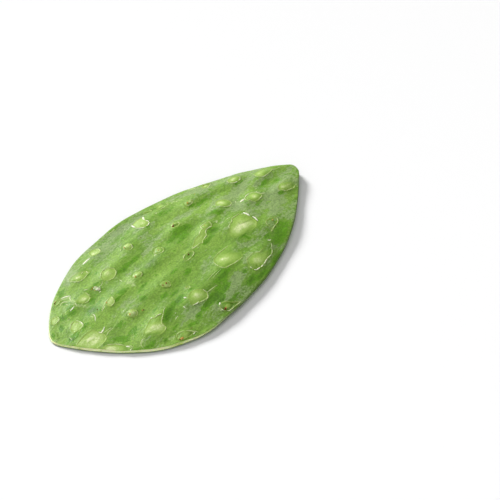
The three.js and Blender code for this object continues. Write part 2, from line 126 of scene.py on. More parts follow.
# The knife's slices on the upper face, each with an outline of its own: how pale the flesh is,
# the direction in degrees in which it fades into the skin (None where it doesn't), how many of
# the outline's first corners the lifted edge of skin runs through, its width, and the corners.
Slice = namedtuple("Slice", "pale fade lifted width outline")
SLICES = [
    Slice(0.2, 0, 6, 0.4, [(-4.6, -20.6), (-5.8, -23.4), (-5.2, -28.3), (-1, -29.5), (4, -30.4),
        (9, -30.9), (11.5, -29), (14.5, -26), (16.3, -22.5), (16, -19.5), (13, -17.9), (5, -17.4),
        (0, -17.9), (-2.5, -18.9)]),
    Slice(0.22, -125, 5, 0.35, [(25.5, -9.8), (28, -8), (32, -7), (34.5, -5.2), (41.5, -5.4),
        (42.4, -9), (43, -12.5), (42, -18), (38, -20.5), (33, -20.3), (28, -18.8), (23, -18.2),
        (20.5, -16.4), (22, -13)]),
    Slice(0.16, 0, 10, 0.6, [(5.6, -38.6), (6, -42), (7.5, -42.9), (11.5, -43.2), (15, -42.8),
        (19, -41.8), (24, -41.5), (27, -39.8), (30, -37.5), (32.4, -35), (25.5, -35.4), (19.5, -36),
        (16, -33.3), (9.5, -33.6), (7, -36.5)]),
    Slice(0.26, None, 7, 0.5, [(-28.2, -29.8), (-28, -32.4), (-30, -35), (-32.5, -35.3),
        (-36, -34.3), (-39, -33.2), (-41.4, -32.4), (-40.5, -30.3), (-39, -28), (-37.5, -26.4),
        (-34, -25.8), (-30, -27)]),
    Slice(0.2, 190, 5, 0.4, [(-65, -31), (-63.2, -30.2), (-62.7, -27), (-60, -25), (-56.2, -23.2),
        (-57.5, -22), (-61.5, -21), (-63, -19.6), (-66.5, -20.5), (-70, -21.8), (-73.5, -22.5),
        (-76, -24), (-74, -26), (-72, -28.5), (-69.5, -30.7)]),
    Slice(0.34, 215, 0, 0.4, [(-88, -8), (-86.6, -6), (-86.7, -4), (-87.4, -1), (-88, 2), (-90, 3),
        (-94, 3.3), (-99.6, 3.2), (-102.6, 0.5), (-100.6, -3), (-99, -6), (-97.5, -7.6),
        (-94.5, -8.6), (-90.5, -8.8)]),
    Slice(0.3, -50, 6, 0.45, [(-91.5, -11.5), (-88, -15.5), (-86.5, -19), (-84.6, -22.4),
        (-85.5, -23.8), (-88, -24.1), (-90, -21.8), (-93, -17.5), (-95.8, -13), (-94, -11.2)]),
    Slice(0.12, None, 5, 0.3, [(-64.8, -39), (-63, -37.9), (-60.5, -38.9), (-58, -41),
        (-55.6, -43.6), (-57, -44.2), (-60, -43.9), (-63, -43), (-65.4, -41.4)]),
    Slice(0.1, None, 5, 0.5, [(-20.6, -50.6), (-25.5, -50.4), (-30, -50.1), (-32.4, -48),
        (-32.6, -45.6), (-31, -43.6), (-29, -43.4), (-26, -45), (-24, -47.4)]),
    Slice(0.08, None, 4, 0.4, [(53.2, -25.8), (50.5, -27.7), (46, -28.3), (41, -29.6),
        (43.6, -27.8), (43.5, -26.2), (44.2, -23.8), (46.4, -21.9), (50.5, -22.3), (53.4, -24.3)]),
    Slice(0.2, None, 9, 0.45, [(57, -4.4), (55.9, -1), (56.8, 1), (59.3, 2.2), (63, 2.5),
        (65.5, 0.6), (66.6, -3.8), (65.5, -5.8), (60.5, -6.3), (58, -5.6)]),
    Slice(0.22, -20, 9, 0.4, [(81.6, 11), (81.1, 8.6), (82.6, 6.6), (84.6, 5.4), (89.9, 5.5),
        (94.3, 6.3), (96.8, 5.2), (100.5, 4.8), (105, 2.2), (103, 4.6), (98.4, 8.2), (95.6, 9.6),
        (91.8, 11.8), (88, 12.6), (84.3, 12.3)]),
    Slice(0.2, 0, 6, 0.35, [(77, -10.6), (79.3, -12.5), (80.5, -13.8), (84.3, -14.5), (87, -14.9),
        (91, -14), (94.3, -11.6), (95.6, -9), (88, -7.9), (83, -7.2), (79.3, -7.9)]),
    Slice(0.24, None, 5, 0.55, [(40.6, 9.4), (41.8, 7.2), (43, 5.4), (45.8, 4.3), (49, 5.3),
        (49.9, 7.9), (49.6, 11), (46.8, 13.2), (43.6, 13.5), (41.1, 11.8)]),
    Slice(0.22, None, 7, 0.5, [(65.8, 21), (65.2, 18.8), (66.4, 17.2), (68.4, 16.2), (72.4, 16),
        (74.8, 17.4), (75.3, 19.6), (73, 21.9), (68.6, 22.1)]),
    Slice(0.2, None, 3, 0.5, [(54.1, 27.6), (58, 28.4), (60.2, 29.8), (58.6, 30.6), (54.9, 31.8),
        (52.2, 29.8)]),
    Slice(0.4, None, 10, 0.8, [(8.6, 42.4), (6.5, 40.3), (5.3, 38), (5.2, 35.4), (3.2, 33.7),
        (0, 33.8), (-2.4, 35.2), (-3.5, 37.6), (-2.8, 40), (-2.2, 42.4), (3.6, 43.4)]),
    Slice(0.14, None, 3, 0.5, [(20, 38.2), (22.5, 37.4), (27, 37.1), (27.6, 39.4), (25, 42.2),
        (21.6, 42.4), (20, 40.4)]),
    Slice(0.36, None, 4, 0.4, [(-18.6, 30.4), (-20, 27.8), (-22, 26.8), (-23.4, 27.8),
        (-23.9, 30.4), (-22.5, 32.6), (-19.2, 32.6)]),
    Slice(0.16, None, 5, 0.45, [(-16.8, 11), (-15.4, 9.9), (-13, 9.8), (-11.4, 11.4), (-10.8, 13.6),
        (-12.6, 15.2), (-15.6, 15.2), (-17.2, 13.4)]),
    Slice(0.2, None, 3, 0.25, [(13.2, 18), (13.9, 20), (12.4, 21.6), (9.6, 21.8), (7.8, 20),
        (8.4, 18), (11, 17.3)]),
    Slice(0.14, None, 4, 0.4, [(30.4, 26), (32.2, 24.9), (34.6, 24.7), (36.9, 26), (34.5, 27.9),
        (32, 27.6)]),
    Slice(0.2, None, 7, 0.4, [(16.2, 3.2), (17.2, 5), (18.8, 5.9), (21.6, 5.6), (24, 4.2),
        (23.4, 2), (21.4, 0.6), (18.4, 0.9)]),
    Slice(0, None, 5, 0.4, [(-3.6, -4.4), (-4.6, -6), (-7, -6.7), (-10, -6.8), (-13, -6.3),
        (-12, -4.2), (-10.5, -3), (-8, -2.3), (-5, -2.6)]),
    Slice(0.2, None, 5, 0.35, [(-32.2, -20.4), (-31.8, -22.2), (-30.6, -22.7), (-29.6, -21.4),
        (-30.2, -20.2), (-31.2, -19.9)]),
    Slice(0.22, None, 7, 0.45, [(-63.4, 39), (-62.8, 37), (-61.5, 35.2), (-60, 34.1), (-57, 33.8),
        (-54, 34.4), (-51, 34.9), (-51.2, 37), (-53.5, 38.7), (-55, 40.2), (-58, 41.3), (-62, 41)]),
    Slice(0.28, None, 4, 0.45, [(-30.3, 45.6), (-31, 43.5), (-33, 42.1), (-36, 42.2), (-38, 44),
        (-37.5, 46), (-36, 47.6), (-33, 48.1), (-30.8, 47)]),
    Slice(0.26, None, 3, 0.3, [(-95.5, 23.5), (-92.5, 22.9), (-90.6, 23.8), (-89.8, 26),
        (-91.5, 27.6), (-94, 27), (-96, 25.4)]),
    Slice(0.24, 90, 5, 0.3, [(-73.5, 19.5), (-71.5, 18.8), (-69, 19.5), (-67.5, 21.5),
        (-66.8, 24.6), (-68.5, 27.5), (-72, 27.5), (-75, 26), (-75.5, 24), (-74.8, 21.5)]),
    Slice(0.3, None, 9, 0.35, [(-51, 20.5), (-48.5, 19.5), (-45.5, 20), (-43, 21.5), (-41.8, 24),
        (-43, 26.8), (-46, 28.3), (-49, 27.8), (-51.5, 26), (-52.5, 23.5)]),
    Slice(0.34, None, 6, 0.6, [(-93.2, 13.6), (-91.5, 14.9), (-88.5, 15.3), (-86.6, 13.4),
        (-86.9, 10.8), (-88.2, 8.3), (-91, 8.5), (-94.8, 9.8), (-94.2, 11.6)]),
    Slice(0.44, None, 4, 0.45, [(-62.7, 8.9), (-64, 5.9), (-65.5, 4.5), (-68.8, 4.6), (-69.4, 6.8),
        (-68, 8.6)]),
    Slice(0.24, None, 4, 0.4, [(-36.4, 9.8), (-36.8, 7.5), (-38.5, 6.1), (-41, 6.5), (-42.4, 8.8),
        (-41.4, 10.6), (-38.5, 11.5)]),
    Slice(0.28, None, 3, 0.25, [(-62.9, -8.4), (-63.6, -10.6), (-65.6, -11.6), (-67.8, -10.6),
        (-68.6, -8.6), (-67.6, -6.6), (-65.4, -6), (-63.6, -6.8)]),
    Slice(0.2, None, 4, 0.4, [(-33.8, -8.4), (-33.9, -10.6), (-35.4, -12.2), (-37, -12),
        (-39.4, -9.6), (-38.4, -7.8), (-36, -7.2)]),
    Slice(0.3, None, 9, 0.5, [(-1.2, -2.6), (1, -3.3), (5, -3.4), (6, -4.5), (7.5, -3.2),
        (10.5, -2.6), (13.4, -1.8), (15, 0), (17, 0.9), (16.2, 3), (14.2, 2.9), (10.5, 1.2),
        (6, 1.2), (3, -0.5)]),
    Slice(0.2, None, 0, 0.4, [(-84, 33.4), (-82, 34.8), (-79.4, 35.2), (-78, 33.8), (-81.4, 32.6)]),
    Slice(0.16, None, 0, 0.4, [(11.6, 44.4), (13.6, 42.2), (16.4, 41.8), (17, 43), (13.4, 45)]),
]

# Long low folds of the flesh over the fibres: x, y, half length, half width, turn, height.
FOLDS = [
    (14, 38, 17, 5, -4, 0.7), (-8, 31, 17, 5, 2, 0.55), (-36, 26, 15, 4.5, 0, 0.5),
    (41, 26, 18, 4.5, -6, 0.95), (12, 17.5, 20, 4.5, 0, 0.85), (-22, 7.5, 26, 4.5, 3, 0.7),
    (36, 8.5, 13, 4.5, -8, 0.9), (20, 3.5, 15, 3.6, 10, 0.7), (84, 7, 16, 4.5, -6, 1),
    (68, 19, 16, 5, -16, 0.7), (60, -3, 17, 4.5, -3, 0.8), (-56, -21, 14, 4.5, 12, 0.45),
    (-64, 8, 18, 4.5, 0, 0.5), (-40, -7, 18, 4.5, 2, 0.5), (5, -7, 20, 4.5, 2, 0.5),
    (33, -11, 20, 6.5, 2, 0.6), (4, -24, 20, 6, 4, 0.6), (-34, -29, 17, 5, 4, 0.5),
    (60, 33, 12, 3.5, -24, 0.6), (82, -9, 14, 4.5, 8, 0.7), (44, -24, 18, 5, 10, 0.5),
    (-82, 24, 13, 4.5, 10, 0.4), (-60, 38, 14, 4.5, 14, 0.4), (15, -37, 18, 5, 9, 0.5),
]

# The lists that follow are soft oval patches of paint on the upper face, each written as
# x, y, half length, half width, turn in degrees, strength.

# The palest flesh, where a slice went deepest, with small painted highlights in some and painted
# light on a few edges.
GLOWS_AND_HIGHLIGHTS = [
    (0.8, -23.4, 3.6, 3, -10, 0.46), (0.6, -22.8, 0.7, 0.6, 0, 0.9), (4.6, -25.6, 6, 3.4, -25, 0.3),
    (30.5, -13.6, 8, 2.8, -4, 0.72), (33, -13.6, 2.4, 0.7, -20, 0.9),
    (34.6, -10.4, 4, 2.6, 30, 0.35), (38, -16, 5, 2.6, -30, 0.3), (28, -16.4, 6, 2.4, 0, 0.35),
    (13.5, -38.8, 3.8, 2.8, 0, 0.65), (19, -39.6, 5, 1.6, 6, 0.2), (-94.6, -3.2, 6.4, 4, -12, 0.62),
    (-94, -0.6, 1.7, 0.55, -20, 1), (-99, 0.8, 4, 2.4, 0, 0.25),
    (-67.4, -25.6, 5.4, 2.8, -32, 0.76), (-65.8, -29, 2, 1.4, -20, 0.3),
    (-71.6, -24, 2.4, 1.2, 0, 0.3), (-58.2, 37, 2.6, 1.5, -14, 0.55),
    (-59, 37.8, 0.8, 0.5, 30, 0.9), (-52.4, 36.4, 1.4, 1.6, 0, 0.3), (-35.6, 45, 1.6, 1.1, 30, 0.7),
    (-33.6, 44.6, 2.4, 2, 0, 0.45), (-46.8, 24.2, 3, 2.6, 0, 0.42),
    (-71.6, 21.8, 2.2, 1.4, -30, 0.6), (-70.4, 23, 3, 2.6, 0, 0.3), (-91.4, 12.2, 2.6, 2.2, 0, 0.4),
    (-93.2, 25.4, 2, 1.5, 20, 0.45), (2, 37.6, 1.6, 2, 0, 0.3), (3, 42.2, 4, 1, 0, 0.2),
    (45, 10.6, 2.6, 2.8, 0, 0.66), (61.8, -2.4, 2.6, 2, 20, 0.62), (69.8, 19.2, 2.8, 1.6, 0, 0.7),
    (85, 10, 2.6, 1.7, 20, 0.55), (88.6, 9.6, 2.2, 1.4, 0, 0.25), (81.4, -10.2, 2, 1.3, 10, 0.6),
    (85, -11.6, 4, 1.5, 0, 0.45), (-34.4, -29.8, 3, 2.1, 10, 0.6), (-92.4, -15, 5, 1.9, -52, 0.75),
    (-66.4, 6.8, 2, 1, 10, 0.35), (-20.8, 30, 1.8, 1.8, 0, 0.35), (-14.6, 12.2, 1, 0.8, 0, 0.5),
    (19.4, 3.6, 1.3, 1, 0, 0.45), (-65.8, -9.2, 2.2, 1.9, 0, 0.6), (-39, 8.8, 1.6, 1.2, 0, 0.4),
    (23.2, 40.8, 1.6, 1.2, 0, 0.4), (55.4, 30.2, 1.8, 1.2, -15, 0.55),
    (-36.9, -10.8, 2.2, 1.5, 0, 0.5), (11.4, 19.8, 1.2, 0.9, 0, 0.35), (34.6, 26.2, 1.7, 1, 0, 0.6),
    (8, -1.2, 6, 1, 10, 0.15), (-97, -8.6, 2.4, 0.9, 10, 0.25), (-44.4, 13.4, 1.6, 1.1, 0, 0.2),
    (-90.4, -0.8, 3, 2, 0, 0.35), (-60.8, -42.2, 2.6, 1.4, 0, 0.35),
    (-32.6, -31.6, 2.4, 1.5, 0, 0.35), (83.4, 7.2, 2.6, 1.1, 0, 0.3),
    (-28.6, -47.2, 2, 1.2, 0, 0.35), (36, -17.8, 4, 1.8, -20, 0.3),
    (-101.4, 2.4, 3, 1.2, -10, 0.25), (-104, 12, 2.4, 2, 0, 0.3),
]

# Small dark nicks and bruises.
NICKS = [
    (-100.6, 16.6, 2.6, 0.5, 50, 0.8), (-99, 9.2, 2.4, 0.6, 70, 0.8), (-95.5, 3.3, 5, 0.5, 4, 0.7),
    (-88, 6.6, 2.6, 0.5, -10, 0.6), (-85, 26.6, 3, 0.7, 60, 0.5), (-79.6, 29.4, 2.4, 0.9, 30, 0.6),
    (-77, 16, 3, 1, 20, 0.6), (-64.4, 23, 0.8, 1.2, 0, 0.6), (-61.6, 24, 1.8, 0.9, -10, 1),
    (-79, -30.4, 3, 0.5, -35, 0.6), (-70.5, -36.2, 2.6, 0.6, -20, 0.7),
    (-57, -44.4, 3, 0.9, -14, 1), (-65, -41.4, 1.2, 0.9, 0, 0.9), (-24.6, -47.6, 3.4, 0.8, -38, 1),
    (-31.6, -46.8, 1, 1.8, 10, 1), (-57.4, -41.6, 1.6, 0.4, -45, 0.8), (-28, -50.9, 5, 0.5, 0, 0.8),
    (-23, -49.8, 2.4, 0.7, 0, 0.8), (13.6, 43.6, 4.4, 0.9, -32, 0.9),
    (18.6, 41.6, 1.6, 0.8, 0, 0.6), (-44, -31, 1.6, 0.8, 60, 0.6),
    (-39.6, -33.8, 2.4, 0.8, -20, 0.6), (-7.6, -3.9, 2.6, 0.8, 0, 0.8),
    (37.4, -13.7, 4.6, 0.4, -11, 0.8), (32.9, -11.7, 1.2, 0.4, 60, 0.6),
    (24.8, -9.6, 3.4, 0.5, 60, 0.5), (-94, -9.6, 3, 0.6, -4, 0.5), (9.4, -40.8, 0.8, 0.6, 0, 0.9),
    (-51, 41.6, 3, 0.5, 0, 0.5), (-72, 20, 2.6, 0.5, 10, 0.6), (-67.4, 21.2, 0.6, 2, 0, 0.5),
    (-40.4, 6.4, 3, 0.5, 0, 0.4), (-66.4, -11, 2.6, 0.6, 0, 0.5), (50, -22.2, 4, 0.5, 6, 0.4),
]

# Places where the waxy bloom has been rubbed away, with painted shade in some valleys between folds
# and along the near margin.
RUBBED_AND_SHADED = [
    (-98.6, 7.6, 3.6, 1.8, 0, 0.9), (-102, 18.4, 3, 1.4, 45, 0.7), (-96, 18, 3, 1.6, 40, 0.8),
    (-89.4, 22.6, 1.8, 2.2, 0, 0.9), (-83, 20.6, 3.6, 1.8, 0, 0.75), (-80.6, 24.8, 2, 1.4, 0, 0.75),
    (-80.2, 29.8, 1.3, 1.1, 0, 0.75), (-78, 27.4, 1, 1.2, 0, 0.7), (-73.6, 26.8, 0.8, 0.7, 0, 0.9),
    (-76, 12, 3.6, 2.6, -20, 1), (-72.6, 9, 2.4, 1.2, 0, 0.5), (-65, 19, 1.2, 1.6, 0, 0.7),
    (-69.6, 17.4, 3.4, 1.4, 0, 0.8), (-58, 24.8, 2, 1.4, 0, 0.7), (-74, 36.6, 3.4, 1.6, 20, 0.6),
    (-38, 19.6, 6, 2, 4, 0.7), (-31.6, 25.6, 3, 1, -20, 0.5), (-50, 31, 5, 1.6, -6, 0.5),
    (-62, 5, 3, 1.2, 0, 0.6), (-57, 8, 4, 2, -10, 0.6), (-53, -6.6, 2.6, 1.3, 0, 0.9),
    (-62, 1, 6, 1.4, 0, 0.4), (-44.6, -15, 3.2, 1.2, 4, 0.9), (-38.8, -18, 4.6, 1.4, 6, 0.9),
    (-56, -17, 5, 1, 6, 0.5), (-53.6, -24.8, 6.4, 2.6, 10, 1), (-42.6, -23.4, 5, 2, 4, 1),
    (-58, -27, 3, 1.2, 0, 0.9), (-60, -34, 3, 0.8, 6, 0.5), (-34, -37.6, 6.4, 2, 2, 1.1),
    (-26.6, -38, 6, 3.4, 0, 1.1), (-44.6, -39.2, 2, 1.7, 0, 0.8), (-11, -31, 7, 1.8, 4, 1.1),
    (-20, -34.6, 4, 1.2, 8, 0.6), (-27, -42, 5, 2, 14, 1), (-16.4, -37.6, 4.4, 1.7, 10, 0.9),
    (-9, -27.6, 4, 0.8, -4, 0.9), (0.6, -38.4, 2.6, 1.4, 0, 0.9), (-1.6, -45, 5, 2.2, 10, 1),
    (-28, -47, 4, 1.6, -10, 0.6), (6, -47, 7, 1.6, 8, 0.9), (24, -45.4, 12, 1.8, 14, 0.8),
    (42, -35.4, 14, 3.6, 22, 0.66), (36, -30, 3, 1.4, 0, 0.8), (44, -33, 1.6, 1, 0, 0.9),
    (26.6, -22, 1.4, 2.6, 0, 0.7), (25, -19.4, 4.6, 1, 0, 0.8), (24, -40.4, 4, 1, 20, 0.6),
    (19.6, -2.6, 4.4, 2.4, -10, 1), (7.6, -5.6, 2.4, 1.2, 0, 0.9), (12, -5.4, 5, 1.4, 6, 0.7),
    (-19.6, -12.6, 3.4, 1.4, 35, 0.6), (-30, -24, 6, 1.4, 0, 0.4), (3, 13.4, 9, 3.4, 0, 0.65),
    (13, 12.6, 5, 2.4, 0, 0.6), (18, 34, 7, 3, -8, 0.6), (1, 32.4, 2.4, 1, 0, 0.9),
    (42, 21.4, 9, 2.2, -5, 0.6), (32, 24, 3, 1, 0, 0.8), (34, 9, 6, 2.4, 0, 0.6),
    (38, 5, 5, 1.6, 0, 0.6), (67, 15, 2.4, 1.2, 0, 0.8), (71.6, 14.4, 3, 1, 0, 0.6),
    (78.6, 2, 10, 1.6, 6, 0.7), (76, -12, 3, 2, 0, 0.6), (58.6, -8, 4, 1.6, 0, 0.6),
    (53, -3.6, 2, 2.4, 0, 0.5), (98.6, 7, 4, 1, -38, 0.6), (-100, -6.6, 2, 1, -60, 0.8),
    (-97, -11.6, 1.4, 0.6, -10, 1.1), (-89.6, -22.4, 1.4, 0.8, -50, 1),
    (-84, -27, 4, 0.7, -44, 0.8), (-79, -30.6, 3.6, 1.6, -30, 0.6), (-70, -35.2, 1.6, 0.8, 0, 1),
    (20, 42.6, 4, 1.2, -25, 0.7), (26.6, 40.6, 1.4, 1.6, 0, 0.9), (-60, 40.2, 2.6, 0.6, 0, 0.9),
    (-62.4, 37.8, 0.6, 1.4, 0, 0.8), (2.6, 40.6, 2.4, 0.7, 0, 0.9), (-1, 38.6, 1.4, 0.5, 20, 0.9),
    (38, -12.6, 3.4, 0.4, -12, 1), (-52, 34, 4, 1, 0, 0.4), (-84, -14, 5, 2, -50, 0.7),
    (-76, -8, 4, 2, -20, 0.6), (-74, -16, 3, 1.4, 0, 0.7), (-68, 13, 4, 1.2, 0, 0.6),
    (-58, 15, 5, 1.2, 4, 0.5), (-76, -30, 3, 1, -35, 0.6), (-52, -40, 4, 1.4, -10, 0.6),
    (-18, -46, 6, 1.4, 0, 0.6), (-46, 0, 6, 1.2, 4, 0.6), (-26, 20, 6, 1.4, 0, 0.5),
    (-24, -6, 6, 1.2, 0, 0.5), (4, 8, 7, 1.2, 0, 0.6), (62, -12, 8, 2, 0, 0.4),
    (86, -3, 8, 2.4, 0, 0.3), (44, -14, 3, 4, 0, 0.3), (-14, 40, 8, 2, 0, 0.3),
]

# Smears of dry skin and bloom.
SMEARS = [
    (-46.4, 7.8, 3.6, 4.4, 0, 0.85), (31, 36.5, 5, 1.5, -20, 0.6), (50, 36, 4, 1.2, -30, 0.6),
    (-77.4, 22.6, 1.2, 2.2, 20, 0.8), (-76.4, 26, 1.4, 2.4, -10, 0.9),
    (-75.4, 17.6, 1.6, 2.6, 20, 0.8), (-74.6, 31.6, 2.2, 1.2, -30, 0.9),
    (-77, 33, 2, 0.9, -20, 0.8), (-80.6, 31, 2.6, 0.7, 0, 0.8), (-18.4, 12, 1.2, 0.9, 0, 1),
    (1.2, -4.8, 2, 0.6, -10, 1), (-0.8, -2.6, 0.9, 0.8, 0, 1), (27.2, 1, 1.8, 1, -10, 0.9),
    (28.4, -2.6, 1, 0.5, 0, 0.8), (34, -3, 2, 0.6, 0, 0.8), (70, 26, 7, 2, -24, 0.5),
    (38, 33.5, 9, 1.4, -12, 0.5), (-54.8, -45, 1.4, 0.8, -40, 0.8), (-79, -25.6, 3, 0.8, 25, 0.7),
    (-33.4, -46, 1.2, 2.6, 0, 0.9), (-95.6, -9.4, 3, 0.9, -16, 0.8),
    (-85.6, -21.6, 1.2, 1.4, 0, 0.9), (-66.6, -37, 3, 1.6, -20, 0.9), (-76, 20.2, 2, 1.2, 0, 0.8),
    (24, 2.2, 1.8, 0.8, 0, 0.8), (-88.4, 19, 1.6, 0.7, 0, 0.8), (-98.6, 8.4, 0.7, 1.2, 20, 0.7),
    (-52.4, 36.6, 1, 1, 0, 0.8), (15, 37.4, 1, 0.9, 0, 0.9), (19, 44, 3, 0.8, -30, 0.7),
    (-25.8, 32.2, 1, 0.6, 20, 0.8), (70.4, 2.6, 1.8, 0.8, 0, 0.8), (67.6, -0.6, 1, 0.6, 0, 0.8),
    (7.6, -0.8, 6.5, 1.3, 12, 0.95), (55, 34.6, 4, 1, -25, 0.7), (-79.6, 8.4, 0.9, 1.8, -20, 0.8),
]

# Where the waxy bloom lies thickest and greyest, with a painted sheen over it towards the base.
BLOOMS_AND_SHEEN = [
    (58, 11, 16, 4.5, -8, 0.8), (72, -8, 10, 4, 0, 0.6), (68, -16, 16, 5, 20, 0.6),
    (95, -2, 10, 5, 0, 0.6), (52, 30, 20, 3, -20, 0.8), (84, 17, 10, 3, -32, 0.8),
    (47, -10, 3, 8, 0, 0.4), (-10, -38, 12, 5, 8, 0.66), (-46, -37, 5, 3, 0, 0.7),
    (-32, -43, 6, 3, 0, 0.5), (75.4, 5.3, 5, 1.6, 0, 0.7), (-50, -33, 9, 3, -6, 0.6),
    (-4, 47, 24, 3, -4, 0.35), (-56, 44, 16, 3, 22, 0.5), (-40, -44, 9, 4, -8, 0.4),
    (-84, -15, 5, 7, 0, 0.4), (10, 25, 12, 3, -6, 0.5), (30, 20, 10, 2.4, -6, 0.4),
    (-12, -22, 8, 3, 0, 0.4), (14, -33, 8, 2.2, 12, 0.3),
]

# Where there is hardly any bloom.
FRESH = [
    (-88, 14, 16, 13, 0, 0.9), (-72, 6, 20, 8, 0, 0.6), (-80, -12, 18, 10, -40, 0.5),
    (-36, 2, 12, 5, 0, 0.9), (-100, 10, 10, 8, 0, 0.7), (-77, 12, 8, 5, 0, 1),
    (-66, 24, 12, 8, 0, 0.6), (-30, -12, 24, 9, 0, 0.6), (2, 7, 18, 8, 0, 0.5),
    (-8, -30, 26, 5, 4, 0.4), (20, -6, 16, 7, 0, 0.4), (-60, -30, 12, 6, 0, 0.5),
    (40, -34, 14, 6, 20, 0.5),
]

# Where the skin is lighter and yellower, partly painted light over broad areas.
LIGHTER_AND_LIT = [
    (-68, 1, 24, 6, 0, 0.8), (-30, -1, 18, 4, 0, 0.5), (44, 14.6, 26, 4.4, -4, 0.9),
    (66, -14, 12, 5, 10, 0.5), (-94, 12, 13, 12, 0, 0.7), (-82, -4, 10, 8, 0, 0.5),
    (-80, -18, 8, 5, -40, 0.4), (-40, 29, 14, 3, 0, 0.5), (-56, 30, 10, 3, 0, 0.6),
    (30, 24.4, 12, 1.8, -4, 0.6), (-14, 17.6, 14, 2.4, 0, 0.6), (-44.4, 13.6, 2.4, 1.6, 0, 1),
    (-102, 13, 5, 6, 0, 0.9), (7, 26.3, 9, 1.6, 0, 0.8), (-74, -34.6, 3.4, 1.4, -30, 0.8),
    (-18, -16, 16, 2.4, 4, 0.4), (68, 5, 14, 3, -4, 0.6), (-70, -14, 12, 4, 0, 0.4),
    (-8, 5, 16, 2.4, 0, 0.5), (96, -10.6, 5, 1.4, 20, 0.5), (20, -9, 12, 3, 0, 0.6),
    (8, -8, 8, 3, 0, 0.4),
]

# Where the skin is a deeper green, with painted shade where the surface turns away from the light,
# most along the near margin.
DEEPER_AND_SHADED = [
    (-12, -46, 22, 7, 0, 0.75), (-36, -46, 12, 3, -6, 0.4), (-26, 9.2, 9, 2, 4, 0.9),
    (36, -33, 14, 6, 20, 0.8), (14, -46, 12, 3, 14, 0.6), (-18, -30, 16, 6, 8, 0.4),
    (22, -20, 6, 6, 0, 0.3), (-24, -18, 12, 6, 0, 0.3), (80, 0, 14, 4, 0, 0.3),
    (101, -2, 6, 6, 0, 0.4), (-80, -8, 5, 4, 0, 0.5), (-76, 12, 4, 3, 0, 0.5),
    (20, 12, 20, 4, 0, 0.3), (-8, 22, 16, 4, 0, 0.3), (-6, 46, 20, 4, 0, 0.6),
]

